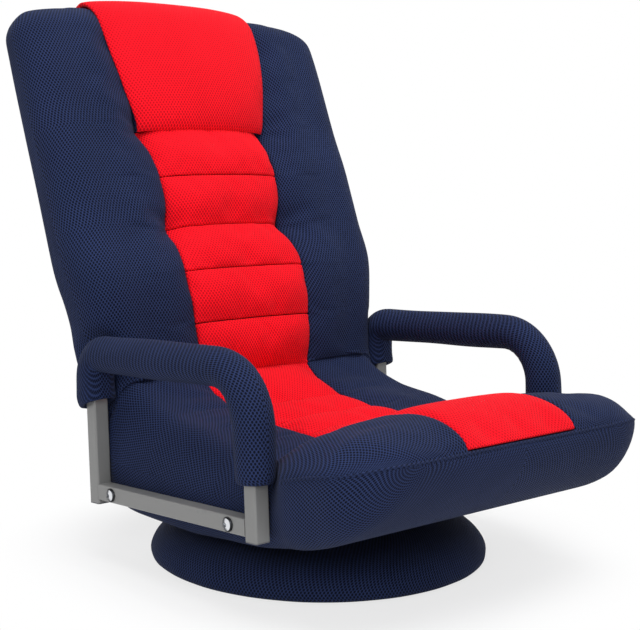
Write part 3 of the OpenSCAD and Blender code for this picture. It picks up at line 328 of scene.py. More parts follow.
def quads_of(rows, columns, closed):
    """Index quads of a grid, facing out."""
    quads = []
    for a in range(0, (rows - 1) * columns, columns):
        b = a + columns
        for j in range(columns if closed else columns - 1):
            k = (j + 1) % columns
            quads.append((a + j, b + j, b + k, a + k))
    return quads


def under_index(k):
    """Place in a ring of the point below column k."""
    return k if k in (0, ACROSS - 1) else RING - k


def end_strip(row, first):
    """Faces that close the cover's first or last row."""
    out = []
    for k in range(ACROSS - 1):
        face = [k, k + 1, under_index(k + 1), under_index(k)]
        face = [row * RING + p for p in (face if first else face[::-1])]
        out.append(tuple(dict.fromkeys(face)))
    return out


def arm_point(y, z):
    """Y and Z of a point in the plane of the arm's rail."""
    c, s = math.cos(ARM_TILT), math.sin(ARM_TILT)
    return np.array([ARM_FRONT + y * c + z * s, ARM_RAIL_Z - y * s + z * c])


def arm_path():
    """Places and directions along the middle of a sleeve, with how tightly it bends there."""
    out = []
    for z in np.linspace(SLEEVE_FRONT, ARM_H - ARM_FRONT_BEND, 9):
        out.append((0, z, 90, 0))
    for a in np.linspace(0, 90, 15)[1:]:
        r, c = ARM_FRONT_BEND, math.radians(a)
        out.append((r - r * math.cos(c), ARM_H - r + r * math.sin(c), 90 - a, math.sin(2 * c) * 0.5))
    for y in np.linspace(ARM_FRONT_BEND, ARM_LEN - ARM_REAR_BEND, 26)[1:]:
        out.append((y, ARM_H, 0, 0))
    for a in np.linspace(0, 90, 9)[1:]:
        r, c = ARM_REAR_BEND, math.radians(a)
        out.append((ARM_LEN - r + r * math.sin(c), ARM_H - r + r * math.cos(c), -a, math.sin(2 * c)))
    for z in np.linspace(ARM_H - ARM_REAR_BEND, SLEEVE_REAR, 8)[1:]:
        out.append((ARM_LEN, z, -90, 0))
    return out


def distance_to_line(points, line):
    """Distance in Y and Z from each point to a run of straight stretches."""
    best = np.full(len(points), 1e9)
    for a, b in zip(line, line[1:]):
        d = b - a
        t = np.clip(((points - a) @ d) / (d @ d), 0, 1)
        best = np.minimum(best, np.linalg.norm(points - a - np.outer(t, d), axis=1))
    return best


def arm_room(points, radius):
    """Furthest from the middle plane that fabric may reach beside the armrest, at points in Y and Z."""
    sleeve = [arm_point(y, z) for y, z, _, _ in arm_path()[::3]] + [arm_point(ARM_LEN, SLEEVE_REAR)]
    far, slope = distance_to_line(points, sleeve), radius * math.sqrt(0.5)
    round_sleeve = ARM_X - np.sqrt(np.maximum(radius**2 - far**2, 0))
    room = np.where(far < slope, round_sleeve, ARM_X - slope + far - slope)
    corners = [(0, SLEEVE_FRONT), (0, 0), (ARM_LEN, 0), (ARM_LEN, SLEEVE_REAR)]
    steel = [arm_point(y, z) for y, z in corners]
    beside = distance_to_line(points, steel) - ARM_TUBE / 2 - 2
    return np.minimum(room, ARM_X - ARM_TUBE / 2 - 0.8 + np.maximum(beside, 0))


def clear_of_arms(points, with_back, radius):
    """Presses points in where a sleeve or post holds the fabric, while the back swings to upright."""
    room = np.full(len(points), 1e9)
    for angle in (0, -8.5, -17):
        a = math.radians(angle) * with_back
        y, z = (points[:, 1:] - HINGE).T
        turned = np.column_stack([y * np.cos(a) + z * np.sin(a), z * np.cos(a) - y * np.sin(a)]) + HINGE
        room = np.minimum(room, arm_room(turned, radius))
    out = points.copy()
    out[:, 0] = np.sign(points[:, 0]) * np.minimum(np.abs(points[:, 0]), room)
    return out


# Ends in Y and Z of the stretch that bends between seat and back, and the share of the fold's rows at which
# the covers and the panels of the two meet
FOLD_START, FOLD_END = np.array([126.0, 166.0]), np.array([184.0, 204.0])
CREASE = 0.5


def share_of_back(points):
    """How far each point follows the back rather than the seat."""
    d = FOLD_END - FOLD_START
    return ease(0, 1, ((points[:, 1:] - FOLD_START) @ d) / (d @ d))


def settle(points, faces, held, swell):
    """Fills a closed form as cloth under pressure, held where it is sewn, and returns its points."""
    pressure, looseness, frames = 4.0, 0.02, 20
    mesh = bpy.data.meshes.new("filling")
    mesh.from_pydata((points * MM).tolist(), [], faces)
    form = bpy.data.objects.new("filling", mesh)
    bpy.context.scene.collection.objects.link(form)
    group = form.vertex_groups.new(name="held")
    for weight in np.unique(held):
        if weight > 0:
            group.add(np.flatnonzero(held == weight).tolist(), float(weight), "REPLACE")
    cloth = form.modifiers.new("filling", "CLOTH")
    s = cloth.settings
    s.quality, s.mass, s.vertex_group_mass = 6, 0.4, "held"
    s.use_pressure, s.uniform_pressure_force = True, pressure
    s.tension_stiffness = s.compression_stiffness = 25
    s.shear_stiffness, s.bending_stiffness = 8, 0.8
    s.shrink_min, s.shrink_max = -looseness, -looseness
    s.effector_weights.gravity = 0
    cloth.collision_settings.use_collision = False
    cloth.point_cache.frame_start, cloth.point_cache.frame_end = 1, frames
    for f in range(1, frames + 1):
        bpy.context.scene.frame_set(f)
    shown = form.evaluated_get(bpy.context.evaluated_depsgraph_get())
    now = np.zeros(len(points) * 3)
    shown.data.vertices.foreach_get("co", now)
    now = now.reshape(-1, 3) / MM
    bpy.data.objects.remove(form)
    bpy.data.meshes.remove(mesh)
    bpy.context.scene.frame_set(1)
    move = now - points
    far = np.linalg.norm(move, axis=1, keepdims=True)
    return points + move * (swell / np.maximum(far, swell))


def normals_of(points, faces):
    """Outward direction at each point, from the faces round it."""
    out = np.zeros_like(points)
    for face in faces:
        p = points[list(face)]
        n = np.cross(p[1] - p[0], p[2] - p[0]) + (np.cross(p[2] - p[0], p[3] - p[0]) if len(face) > 3 else 0)
        out[list(face)] += n
    return out / np.maximum(np.linalg.norm(out, axis=1, keepdims=True), 1e-9)


def flat_places(grid, closed=False, level=0):
    """Places of a grid's points on the flat cloth that it was cut from, one more column if it is closed."""
    if closed:
        grid = np.concatenate([grid, grid[:, :1]], axis=1)
    u = np.zeros(grid.shape[:2])
    v = np.zeros(grid.shape[:2])
    u[:, 1:] = np.cumsum(np.linalg.norm(np.diff(grid, axis=1), axis=2), axis=1)
    v[1:] = np.cumsum(np.linalg.norm(np.diff(grid, axis=0), axis=2), axis=0)
    v -= v[level]
    return np.stack([u - u[:, grid.shape[1] // 2, None], v], axis=2)


def shell_of(points, normals, faces, places, thick, gap=0.5):
    """Closed padded shell of some faces: an outer skin drawn in at its border, an inner skin, and walls."""
    used = sorted({p for f in faces for p in f})
    index = {p: i for i, p in enumerate(used)}
    sides = {}
    for f in faces:
        for a, b in zip(f, f[1:] + f[:1]):
            sides[(a, b)] = f
    border = [(a, b) for a, b in sides if (b, a) not in sides]
    outer = points[used].copy()
    towards = {}
    for a, b in border:
        middle = points[list(sides[(a, b)])].mean(axis=0)
        for p in (a, b):
            towards.setdefault(p, []).append(middle)
    for p, middles in towards.items():
        d = np.mean(middles, axis=0) - points[p]
        outer[index[p]] += d * min(0.3, gap / max(np.linalg.norm(d), 1e-6))
    inner = points[used] - normals[used] * thick
    n = len(used)
    out, place = [], []
    for f in faces:
        out.append([index[p] for p in f])
        place.append(places[f])
        out.append([index[p] + n for p in reversed(f)])
        place.append(places[f][::-1])
    for a, b in border:
        i, j = index[a], index[b]
        out.append([i, i + n, j + n, j])
        f = sides[(a, b)]
        pa, pb = places[f][f.index(a)], places[f][f.index(b)]
        place.append([pa, pa, pb, pb])
    return np.vstack([outer, inner]), out, place


def make_piece(name, shells, material):
    """One mesh piece of several closed shells, with their flat cloth places as a UV layer."""
    points, faces, places = [], [], []
    for p, f, uv in shells:
        start = sum(len(q) for q in points)
        points.append(p)
        faces += [[i + start for i in face] for face in f]
        places += uv
    mesh = bpy.data.meshes.new(name)
    mesh.from_pydata((np.vstack(points) * MM).tolist(), [], faces)
    layer = mesh.uv_layers.new(name="cloth")
    layer.data.foreach_set("uv", (np.array([c for face in places for c in face]) * MM).ravel())
    mesh.polygons.foreach_set("use_smooth", [True] * len(mesh.polygons))
    mesh.materials.append(material)
    mesh.validate()
    piece = bpy.data.objects.new(name, mesh)
    bpy.context.scene.collection.objects.link(piece)
    rounded = piece.modifiers.new("rounded", "SUBSURF")
    rounded.levels = rounded.render_levels = 1
    return piece


# What cover() makes, for the pieces that are cut from it
COVER = {}


def under_pillow(row):
    """Whether a row of the cover lies under the head pillow."""
    return row["part"] == "back" and row["at"] > BACK_SEAMS[-1]


def cover(sizes):
    """The whole cover as one filled form: its rows, points, normals, faces and flat places. Made once."""
    if COVER:
        return COVER
    rows = cover_rows(sizes)
    grid = np.stack([ring(r) for r in rows])
    count = len(rows)
    faces = quads_of(count, RING, True)
    strips = end_strip(0, True) + end_strip(count - 1, False)
    radius = sizes.sleeve_radius / MM + 1.0
    points = grid.reshape(-1, 3)
    points = clear_of_arms(points, share_of_back(points), radius)
    held = np.zeros((count, RING))
    sewn = [MIDDLE - RED, MIDDLE + RED]
    panel = slice(MIDDLE - RED, MIDDLE + RED + 1)
    held[:, sewn] = 1
    held[:, :FIRM] = held[:, ACROSS - FIRM:] = 1
    for i, r in enumerate(rows):
        at_seam = r["part"] in ("back", "seat") and r["at"] in BACK_SEAMS[1:] + SEAT_SEAMS[1:]
        if under_pillow(r) or at_seam or i > count - 3:
            held[i, panel] = 1
        if r["part"] == "fold" or i in (0, count - 1):
            held[i] = 1
    points = settle(points, faces + strips, held.ravel(), sizes.swell / MM)
    points = clear_of_arms(points, share_of_back(points), radius)
    crease = next(i for i, r in enumerate(rows) if r["part"] == "fold" and r["at"] >= CREASE)
    halfway = next(i for i, r in enumerate(rows) if r["at"] <= 300)
    cloths = {}
    for part, level in (("back", halfway), ("seat", crease)):
        top = flat_places(grid[:, :ACROSS], level=level)
        beneath = flat_places(np.concatenate([grid[:, ACROSS - 1:], grid[:, :1]], axis=1), level=level)
        width = beneath[:, -1:, 0] - beneath[:, :1, 0]
        beneath[..., 0] = width / 2 - np.abs(beneath[..., 0] - beneath[:, :1, 0] - width / 2)
        cloths[part] = top, beneath
    places = {}
    for f in faces:
        i, j = f[0] // RING, f[0] % RING
        top, beneath = cloths["back" if i < crease else "seat"]
        flat, k = (top, j) if j < ACROSS - 1 else (beneath, j - ACROSS + 1)
        places[f] = flat[[i, i + 1, i + 1, i], [k, k, k + 1, k + 1]]
    for f in strips:
        top = cloths["seat" if f[0] // RING else "back"][0]
        places[f] = np.array([top[p // RING, min(p % RING, RING - p % RING)] for p in f])
    COVER.update(rows=rows, points=points, faces=faces, strips=strips, places=places,
                 normals=normals_of(points, faces + strips))
    return COVER


def cover_piece(name, chosen, material, thick):
    """A piece of the cover from groups of its faces."""
    c = COVER
    shells = [shell_of(c["points"], c["normals"], group, c["places"], thick) for group in chosen]
    return make_piece(name, shells, material)


def in_panel(face):
    """Whether a face of the cover lies between the two long seams."""
    j = face[0] % RING
    return MIDDLE - RED <= j < MIDDLE + RED


def fold(piece):
    """Bakes a piece's placing into its points and leaves it where it is."""
    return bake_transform(piece)


# Materials

class Maker:
    """Adds nodes to a node tree and links what they take."""

    def __init__(self, tree):
        self.tree = tree

    def node(self, kind, takes=(), **facts):
        made = self.tree.nodes.new(kind)
        for key, value in facts.items():
            setattr(made, key, value)
        for socket, value in dict(takes).items():
            if isinstance(value, bpy.types.NodeSocket):
                self.tree.links.new(value, made.inputs[socket])
            else:
                made.inputs[socket].default_value = value
        return made

    def math(self, operation, a, b=0.0, c=0.0):
        return self.node("ShaderNodeMath", {0: a, 1: b, 2: c}, operation=operation).outputs[0]

    def vector(self, operation, a, b=(0, 0, 0)):
        return self.node("ShaderNodeVectorMath", {0: a, 1: b}, operation=operation)

    def link(self, value, node, socket):
        self.tree.links.new(value, node.inputs[socket])

    def ramp(self, value, low, high, to_low=0.0, to_high=1.0):
        takes = {"Value": value, "From Min": low, "From Max": high, "To Min": to_low, "To Max": to_high}
        return self.node("ShaderNodeMapRange", takes, interpolation_type="SMOOTHSTEP").outputs[0]

    def relief(self, strength, distance, height):
        takes = {"Strength": strength, "Distance": distance, "Height": height}
        return self.node("ShaderNodeBump", takes).outputs[0]

    def mix(self, share, a, b):
        return self.node("ShaderNodeMix", {0: share, 6: a, 7: b}, data_type="RGBA").outputs[2]

    def noise(self, vector, scale, detail=2.0, rough=0.5):
        takes = {"Vector": vector, "Scale": scale, "Detail": detail, "Roughness": rough}
        return self.node("ShaderNodeTexNoise", takes).outputs["Fac"]


def group_of(name, takes, gives):
    """A shader node group, its maker and its two ends, or None for these if it is already made."""
    if name in bpy.data.node_groups:
        return bpy.data.node_groups[name], None, None, None
    group = bpy.data.node_groups.new(name, "ShaderNodeTree")
    for socket, kind, value in takes:
        made = group.interface.new_socket(socket, in_out="INPUT", socket_type=kind)
        if value is not None:
            made.default_value = value
    for socket, kind in gives:
        group.interface.new_socket(socket, in_out="OUTPUT", socket_type=kind)
    m = Maker(group)
    return group, m, m.node("NodeGroupInput"), m.node("NodeGroupOutput")


def air_mesh():
    """Spacer mesh fabric: rows of offset oval holes between soft threads."""
    group, m, given, made = group_of(
        "air_mesh", [("Place", "NodeSocketVector", None), ("Pitch", "NodeSocketFloat", 0.005)],
        [("Hole", "NodeSocketFloat"), ("Height", "NodeSocketFloat"), ("Tone", "NodeSocketFloat")])
    if m is None:
        return group
    place, pitch = given.outputs["Place"], given.outputs["Pitch"]
    waver = m.node("ShaderNodeTexNoise", {"Vector": place, "Scale": 60.0, "Detail": 1.0}).outputs["Color"]
    aside = m.vector("SUBTRACT", waver, (.5, .5, .5)).outputs[0]
    little = m.vector("MULTIPLY", aside, (.0006, .0006, 0)).outputs[0]
    bent = m.vector("ADD", place, little).outputs[0]
    apart = m.node("ShaderNodeSeparateXYZ", {0: bent})
    u = m.math("DIVIDE", apart.outputs[0], pitch)
    v = m.math("DIVIDE", apart.outputs[1], m.math("MULTIPLY", pitch, 1.45))
    near = []
    for shift in (0.0, 0.5):
        a = m.math("SUBTRACT", m.math("FRACT", m.math("ADD", u, shift)), 0.5)
        b = m.math("MULTIPLY", m.math("SUBTRACT", m.math("FRACT", m.math("ADD", v, shift)), 0.5), 1.15)
        near.append(m.math("SQRT", m.math("ADD", m.math("MULTIPLY", a, a), m.math("MULTIPLY", b, b))))
    far = m.math("MINIMUM", *near)
    hole = m.ramp(far, 0.38, 0.2)
    m.link(hole, made, "Hole")
    fibre = m.noise(place, 1800.0, 1.0)
    height = m.math("ADD", m.ramp(far, 0.12, 0.42), m.math("MULTIPLY", fibre, 0.25))
    m.link(height, made, "Height")
    broad = m.noise(place, 7.0, 3.0)
    tone = m.math("ADD", m.math("MULTIPLY", broad, 0.7), m.math("MULTIPLY", fibre, 0.3))
    m.link(tone, made, "Tone")
    return group


def handled():
    """Marks of handling on a hard finish: fine speckle, scuffs and a broad change of gloss."""
    group, m, given, made = group_of(
        "handled", [("Place", "NodeSocketVector", None), ("Grain", "NodeSocketFloat", 900.0)],
        [("Speckle", "NodeSocketFloat"), ("Scuff", "NodeSocketFloat"), ("Gloss", "NodeSocketFloat")])
    if m is None:
        return group
    place = given.outputs["Place"]
    m.link(m.noise(place, given.outputs["Grain"], 2.0), made, "Speckle")
    stretched = m.vector("MULTIPLY", place, (1, .15, .3)).outputs[0]
    m.link(m.ramp(m.noise(stretched, 160.0, 4.0, 0.7), 0.64, 0.74), made, "Scuff")
    m.link(m.noise(place, 14.0, 3.0), made, "Gloss")
    return group


def begin(name, constants):
    """A new material with its maker and its shader, or None for these if it is already made."""
    if name in bpy.data.materials:
        return bpy.data.materials[name], None, None
    material = bpy.data.materials.new(name)
    material.use_nodes = True
    material.node_tree.nodes.clear()
    m = Maker(material.node_tree)
    shader = m.node("ShaderNodeBsdfPrincipled", constants)
    m.node("ShaderNodeOutputMaterial", {"Surface": shader.outputs[0]})
    return material, m, shader


def rgba(colour, level=1.0):
    return (*(c * level for c in colour[:3]), 1.0)


def mesh_fabric(name, colour, pitch, dark, depth):
    """Coloured spacer mesh: holes darkened as painted shade, uneven threads, and a soft sheen."""
    constants = {"Sheen Weight": 0.02, "Sheen Roughness": 0.5, "Specular IOR Level": 0.08}
    material, m, shader = begin(name, constants)
    if m is None:
        return material
    place = m.node("ShaderNodeUVMap", uv_map="cloth").outputs[0]
    weave = m.node("ShaderNodeGroup", node_tree=air_mesh())
    m.link(place, weave, "Place")
    weave.inputs["Pitch"].default_value = pitch
    threads = m.mix(m.ramp(weave.outputs["Tone"], 0.3, 0.7), rgba(colour, 0.95), rgba(colour, 1.25))
    # Painted shade: the holes are darkened towards the dark level, by the depth share, for the shade inside
    # them
    shade = m.mix(m.math("MULTIPLY", weave.outputs["Hole"], depth), threads, rgba(colour, dark))
    m.link(shade, shader, "Base Color")
    m.link(m.ramp(weave.outputs["Tone"], 0.2, 0.8, 0.9, 0.8), shader, "Roughness")
    m.link(m.relief(0.55, 0.0008, weave.outputs["Height"]), shader, "Normal")
    return material


def hard_finish(name, colour, rough, metal=0.0, coat=0.0, worn=None, grain=900.0, bump=0.25, spread=0.12,
                rim=None):
    """Painted, plated or moulded finish with speckle, scuffs and uneven gloss, and a painted dark reflection
    at its rim if asked.
    """
    material, m, shader = begin(name, {"Metallic": metal, "Coat Weight": coat})
    if m is None:
        return material
    place = m.node("ShaderNodeTexCoord").outputs["Object"]
    marks = m.node("ShaderNodeGroup", node_tree=handled())
    m.link(place, marks, "Place")
    marks.inputs["Grain"].default_value = grain
    even = m.mix(marks.outputs["Gloss"], rgba(colour, 0.93), rgba(colour, 1.07))
    rubbed = rgba(worn) if worn else rgba(colour, 0.8)
    shade = m.mix(m.math("MULTIPLY", marks.outputs["Scuff"], 0.35), even, rubbed)
    # Painted reflection: the colour darkens towards the rim colour where the surface turns away from the view
    if rim:
        turned = m.node("ShaderNodeLayerWeight", {"Blend": 0.5}).outputs["Facing"]
        shade = m.mix(m.ramp(turned, 0.3, 0.55), shade, rgba(rim))
    m.link(shade, shader, "Base Color")
    gloss = m.ramp(marks.outputs["Gloss"], 0.3, 0.7, rough - spread / 2, rough + spread / 2)
    m.link(m.math("ADD", gloss, m.math("MULTIPLY", marks.outputs["Scuff"], 0.15)), shader, "Roughness")
    m.link(m.relief(bump, 0.0002, marks.outputs["Speckle"]), shader, "Normal")
    return material


def woven_band(name, colour):
    """Elastic webbing or non-woven cloth: crossed ribs over a plain colour."""
    scale = 520.0
    material, m, shader = begin(name, {})
    if m is None:
        return material
    place = m.node("ShaderNodeTexCoord").outputs["Object"]
    takes = {"Vector": place, "Scale": scale / 6, "Distortion": 1.5, "Detail": 1.0}
    ribs = m.node("ShaderNodeTexWave", takes).outputs["Fac"]
    felt = m.noise(place, scale * 2, 3.0, 0.7)
    shade = m.mix(m.math("MULTIPLY", ribs, felt), rgba(colour, 0.75), rgba(colour, 1.4))
    m.link(shade, shader, "Base Color")
    m.link(m.relief(0.5, 0.0004, m.math("ADD", ribs, felt)), shader, "Normal")
    m.link(m.ramp(felt, 0.3, 0.7, 0.8, 0.95), shader, "Roughness")
    return material


def navy(context):
    c = context.scene.chair_colours
    # The last two numbers set the painted shade in the mesh's holes
    return mesh_fabric("navy_air_mesh", c.navy, c.weave, 0.08, 0.95)


def red(context):
    c = context.scene.chair_colours
    # The last two numbers set the painted shade in the mesh's holes
    return mesh_fabric("red_air_mesh", c.red, c.weave, 0.34, 0.7)


# Operators

class CHAIR_OT_navy_covers(bpy.types.Operator):
    """Makes the navy covers of the back and of the seat"""
    bl_idname = "chair.navy_covers"
    bl_label = "Navy covers"

    def execute(self, context):
        sizes = context.scene.chair_sizes
        c = cover(sizes)
        rows, thick = c["rows"], sizes.shell / MM
        split = max(i for i, r in enumerate(rows) if r["part"] == "fold" and r["at"] <= CREASE)
        groups = {"back": [], "seat": []}
        for k, f in enumerate(c["faces"] + c["strips"]):
            i, j = divmod(f[0], RING)
            x, y, _ = c["points"][list(f)].mean(axis=0)
            below = k < len(c["faces"]) and j >= ACROSS - 1
            border = abs(j + 0.5 - MIDDLE) > RED - 4
            if not below and in_panel(f) and not (under_pillow(rows[i]) and border):
                continue
            if below and i >= split and abs(x) < OPEN_X and abs(y) < OPEN_Y:
                continue
            groups["back" if i < split else "seat"].append(f)
        back = fold(cover_piece("back_cover", [groups["back"]], navy(context), thick))
        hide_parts("back_cushion", "back_rear_panel")
        seat = fold(cover_piece("seat_cover", [groups["seat"]], navy(context), thick))
        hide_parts("seat_cushion")
        return {"FINISHED"}


class CHAIR_OT_red_panels(bpy.types.Operator):
    """Makes the sewn red panels of the back, the seat and the roll"""
    bl_idname = "chair.red_panels"
    bl_label = "Red panels"

    def execute(self, context):
        sizes = context.scene.chair_sizes
        c = cover(sizes)
        rows = c["rows"]
        channels = {"back_channels": {}, "seat_channels": {}, "roll_face": {}}
        for f in c["faces"]:
            i = f[0] // RING
            row, after = rows[i], rows[i + 1]
            part, at = row["part"], row["at"]
            if not in_panel(f) or under_pillow(row):
                continue
            if part == "back":
                name, k = "back_channels", 1
                if after["part"] == "back":
                    k = int(np.searchsorted(BACK_SEAMS, at))
            elif part == "fold":
                name, k = "back_channels" if at < CREASE else "seat_channels", 1
            elif part == "seat" and at < SEAT_SEAMS[-1]:
                name, k = "seat_channels", int(np.searchsorted(SEAT_SEAMS, at, side="right"))
            else:
                name, k = "roll_face", 1
            channels[name].setdefault(k, []).append(f)
        stands_for = {"back_channels": "back_red_panel", "seat_channels": "seat_red_panel",
                      "roll_face": "seat_roll_panel"}
        for name, groups in channels.items():
            piece = cover_piece(name, list(groups.values()), red(context), sizes.shell / MM)
            if name == "roll_face":
                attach(piece, "seat")
            else:
                fold(piece)
            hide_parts(stands_for[name])
        return {"FINISHED"}


# Profile of the pillow from its seam over the top to its rear edge: place along the back and depth, at its
# middle and at its sides
PILLOW_MIDDLE = [(368, 49), (371, 54), (378, 59), (392, 64), (415, 68), (445, 70), (475, 69), (503, 66),
                 (527, 59), (545, 46), (558, 28), (565, 8), (564, -8), (556, -20), (543, -27), (530, -28),
                 (523, -22)]
PILLOW_SIDE = [(368, 35), (371, 38), (378, 41), (392, 43), (415, 45), (445, 47), (475, 46), (503, 44),
               (527, 40), (543, 31), (555, 18), (560, 6), (559, -5), (554, -13), (544, -19), (532, -20),
               (524, -17)]
# Shares of its half width at which its columns lie, and how far along the back its filling starts and ends
PILLOW_SHARES = [0, .13, .26, .4, .53, .66, .78, .87, .93, .975, 1]
PILLOW_START, PILLOW_END = 374, 540


def pillow_grid():
    """Points of the pillow, row by row from its seam to its rear edge."""
    ticks = np.arange(len(PILLOW_MIDDLE), dtype=float)
    steps = np.linspace(0, ticks[-1], 3 * len(ticks) - 2)
    lines = []
    for table in (PILLOW_MIDDLE, PILLOW_SIDE):
        columns = [np.column_stack([ticks, column]) for column in np.array(table, float).T]
        lines.append([follow(column, steps) for column in columns])
    across = [-q for q in PILLOW_SHARES[:0:-1]] + PILLOW_SHARES
    grid = np.zeros((len(steps), len(across), 3))
    for i, (middle, side) in enumerate(zip(np.transpose(lines[0]), np.transpose(lines[1]))):
        half = float(follow(PANEL_HALF, middle[0]))
        for j, q in enumerate(across):
            s, depth = middle + (side - middle) * abs(q) ** 2.8
            depth -= 3.5 * max(0.0, (abs(q) - 0.9) / 0.1) ** 2
            grid[i, j] = [q * half, *in_back(s, depth)]
    return grid


def fill_pillow(grid, faces, swell):
    """Fills the pillow as cloth, sewn at its border to its line on the back, and returns its points."""
    rows, columns = grid.shape[:2]
    n = rows * columns
    under = grid.copy()
    along = ((grid[:, :, 1:] - HINGE) @ ALONG)[..., None]
    under[:, :, 1:] = HINGE + along.clip(PILLOW_START, PILLOW_END) * ALONG
    closing = [tuple(p + n for p in reversed(f)) for f in faces]
    loop = [(0, j) for j in range(columns)]
    loop += [(i, columns - 1) for i in range(1, rows)]
    loop += [(rows - 1, j) for j in range(columns - 2, -1, -1)]
    loop += [(i, 0) for i in range(rows - 2, 0, -1)]
    loop = [i * columns + j for i, j in loop]
    walls = [(a, b, b + n, a + n) for a, b in zip(loop, loop[1:] + loop[:1])]
    held = np.concatenate([np.isin(np.arange(n), loop).astype(float), np.ones(n)])
    both = np.vstack([grid.reshape(-1, 3), under.reshape(-1, 3)])
    return settle(both, faces + closing + walls, held, swell)[:n]


class CHAIR_OT_head_pillow(bpy.types.Operator):
    """Makes the red head pillow that is sewn over the top of the back"""
    bl_idname = "chair.head_pillow"
    bl_label = "Head pillow"

    def execute(self, context):
        sizes = context.scene.chair_sizes
        grid = pillow_grid()
        faces = quads_of(*grid.shape[:2], False)
        points = grid.reshape(-1, 3)
        points = fill_pillow(grid, faces, sizes.swell / MM)
        flat = flat_places(points.reshape(grid.shape)).reshape(-1, 2)
        places = {f: flat[list(f)] for f in faces}
        shell = shell_of(points, normals_of(points, faces), faces, places, sizes.shell / MM)
        piece = make_piece("head_rest", [shell], red(context))
        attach(piece, "back")
        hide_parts("head_pillow")
        return {"FINISHED"}


class CHAIR_OT_underside(bpy.types.Operator):
    """Makes the black cloth that closes the seat's underside round the swivel"""
    bl_idname = "chair.underside"
    bl_label = "Underside cloth"

    def execute(self, context):
        turns, half_x, half_y, hole = 96, 163.0, 122.0, 94.0
        grid = []
        for share in (0, .03, .1, .3, .6, .85, .96, 1):
            line = []
            for k in range(turns):
                a = 2 * math.pi * k / turns
                c, s = math.cos(a), math.sin(a)
                reach = 1 / ((abs(c) / half_x) ** 9 + (abs(s) / half_y) ** 9) ** (1 / 9)
                r = hole + (reach - hole) * share
                sag = 0.5 * math.sin(math.pi * share) + 0.25 * math.cos(9 * a) * share
                line.append([r * c, r * s, 56.6 - sag])
            grid.append(line)
        grid = np.array(grid)[::-1]
        faces = quads_of(len(grid), turns, True)
        points = grid.reshape(-1, 3)
        if normals_of(points, faces)[:, 2].mean() > 0:
            faces = [f[::-1] for f in faces]
        normals = np.tile([0.0, 0.0, -1.0], (len(points), 1))
        places = {f: points[list(f)][:, :2] for f in faces}
        shell = shell_of(points, normals, faces, places, 0.8, 0)
        cloth = woven_band("black_non_woven", linear(26, 27, 30))
        piece = make_piece("underside_cloth", [shell], cloth)
        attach(piece, "seat")
        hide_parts("seat_bottom_cover")
        return {"FINISHED"}


def tube_along(line, sideways, radius, count):
    """Grid of rings round a line of points."""
    line = np.array(line)
    way = np.gradient(line, axis=0)
    way /= np.linalg.norm(way, axis=1, keepdims=True)
    a = np.cross(way, sideways)
    a /= np.linalg.norm(a, axis=1, keepdims=True)
    b = np.cross(way, a)
    turn = np.arange(count) * 2 * math.pi / count
    spokes = np.cos(turn)[None, :, None] * a[:, None] + np.sin(turn)[None, :, None] * b[:, None]
    return line[:, None] + radius * spokes


def closed_tube(grid, outer):
    """Shell of rings of which the last joins the first, turned so that the ring numbered outer faces out."""
    n, count = grid.shape[:2]
    faces = quads_of(n, count, True)
    last = (n - 1) * count
    faces += [(last + j, j, (j + 1) % count, last + (j + 1) % count) for j in range(count)]
    flat = flat_places(grid, closed=True)
    places = []
    for f in faces:
        j = f[0] % count
        rows = [p // count for p in f] if f[1] // count else [n - 1] * 4
        places.append([flat[i, k] for i, k in zip(rows, (j, j, j + 1, j + 1))])
    points = grid.reshape(-1, 3)
    chosen = slice(outer * count, (outer + 1) * count)
    spokes = points[chosen] - points[chosen].mean(0)
    if (normals_of(points, faces)[chosen] * spokes).sum() < 0:
        faces = [f[::-1] for f in faces]
        places = [p[::-1] for p in places]
    return points, faces, places


class CHAIR_OT_seat_welt(bpy.types.Operator):
    """Makes the covered cord in the seam between the seat's top and its underside"""
    bl_idname = "chair.seat_welt"
    bl_label = "Seat welt"

    def execute(self, context):
        sizes = context.scene.chair_sizes
        c = cover(sizes)
        rows, count = c["rows"], len(c["rows"])
        points, normals = (c[k].reshape(count, RING, 3) for k in ("points", "normals"))
        start = next(i for i, r in enumerate(rows) if r["part"] == "seat" and r["at"] >= WELT_START)
        path = [(i, 0) for i in range(start, count)] + [(count - 1, k) for k in range(1, ACROSS)]
        path += [(i, ACROSS - 1) for i in range(count - 2, start - 1, -1)]
        radius = sizes.welt_radius / MM
        line = np.array([points[p] for p in path])
        front = [k for k, p in enumerate(path) if p[0] == count - 1]
        below = np.array([points[count - 1, under_index(path[k][1])] for k in front])
        line[front] = (line[front] + below) / 2
        line -= np.array([normals[p] for p in path]) * radius * 0.25
        for _ in range(3):
            line[1:-1] = (line[:-2] + 2 * line[1:-1] + line[2:]) / 4
        grid = tube_along(line, (0, 0, 1.0), radius, 8)
        n = grid.shape[1]
        faces = quads_of(len(grid), n, True)
        points = grid.reshape(-1, 3)
        if (normals_of(points, faces)[:n] * (points[:n] - line[0])).sum() < 0:
            faces = [f[::-1] for f in faces]
        flat = flat_places(grid, closed=True)
        places = [[flat[p // n, p % n] for p in f] for f in faces]
        ends = [list(range(n)), [len(points) - n + k for k in range(n)]]
        for end, at in zip(ends, (line[0], line[-1])):
            outward = at - (line[1] if end[0] == 0 else line[-2])
            p = points[end]
            if np.cross(p[1] - p[0], p[2] - p[1]) @ outward < 0:
                end.reverse()
            faces.append(tuple(end))
            places.append([[0.0, 0.0]] * n)
        piece = make_piece("seat_welt", [(points, faces, places)], navy(context))
        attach(piece, "seat")
        return {"FINISHED"}


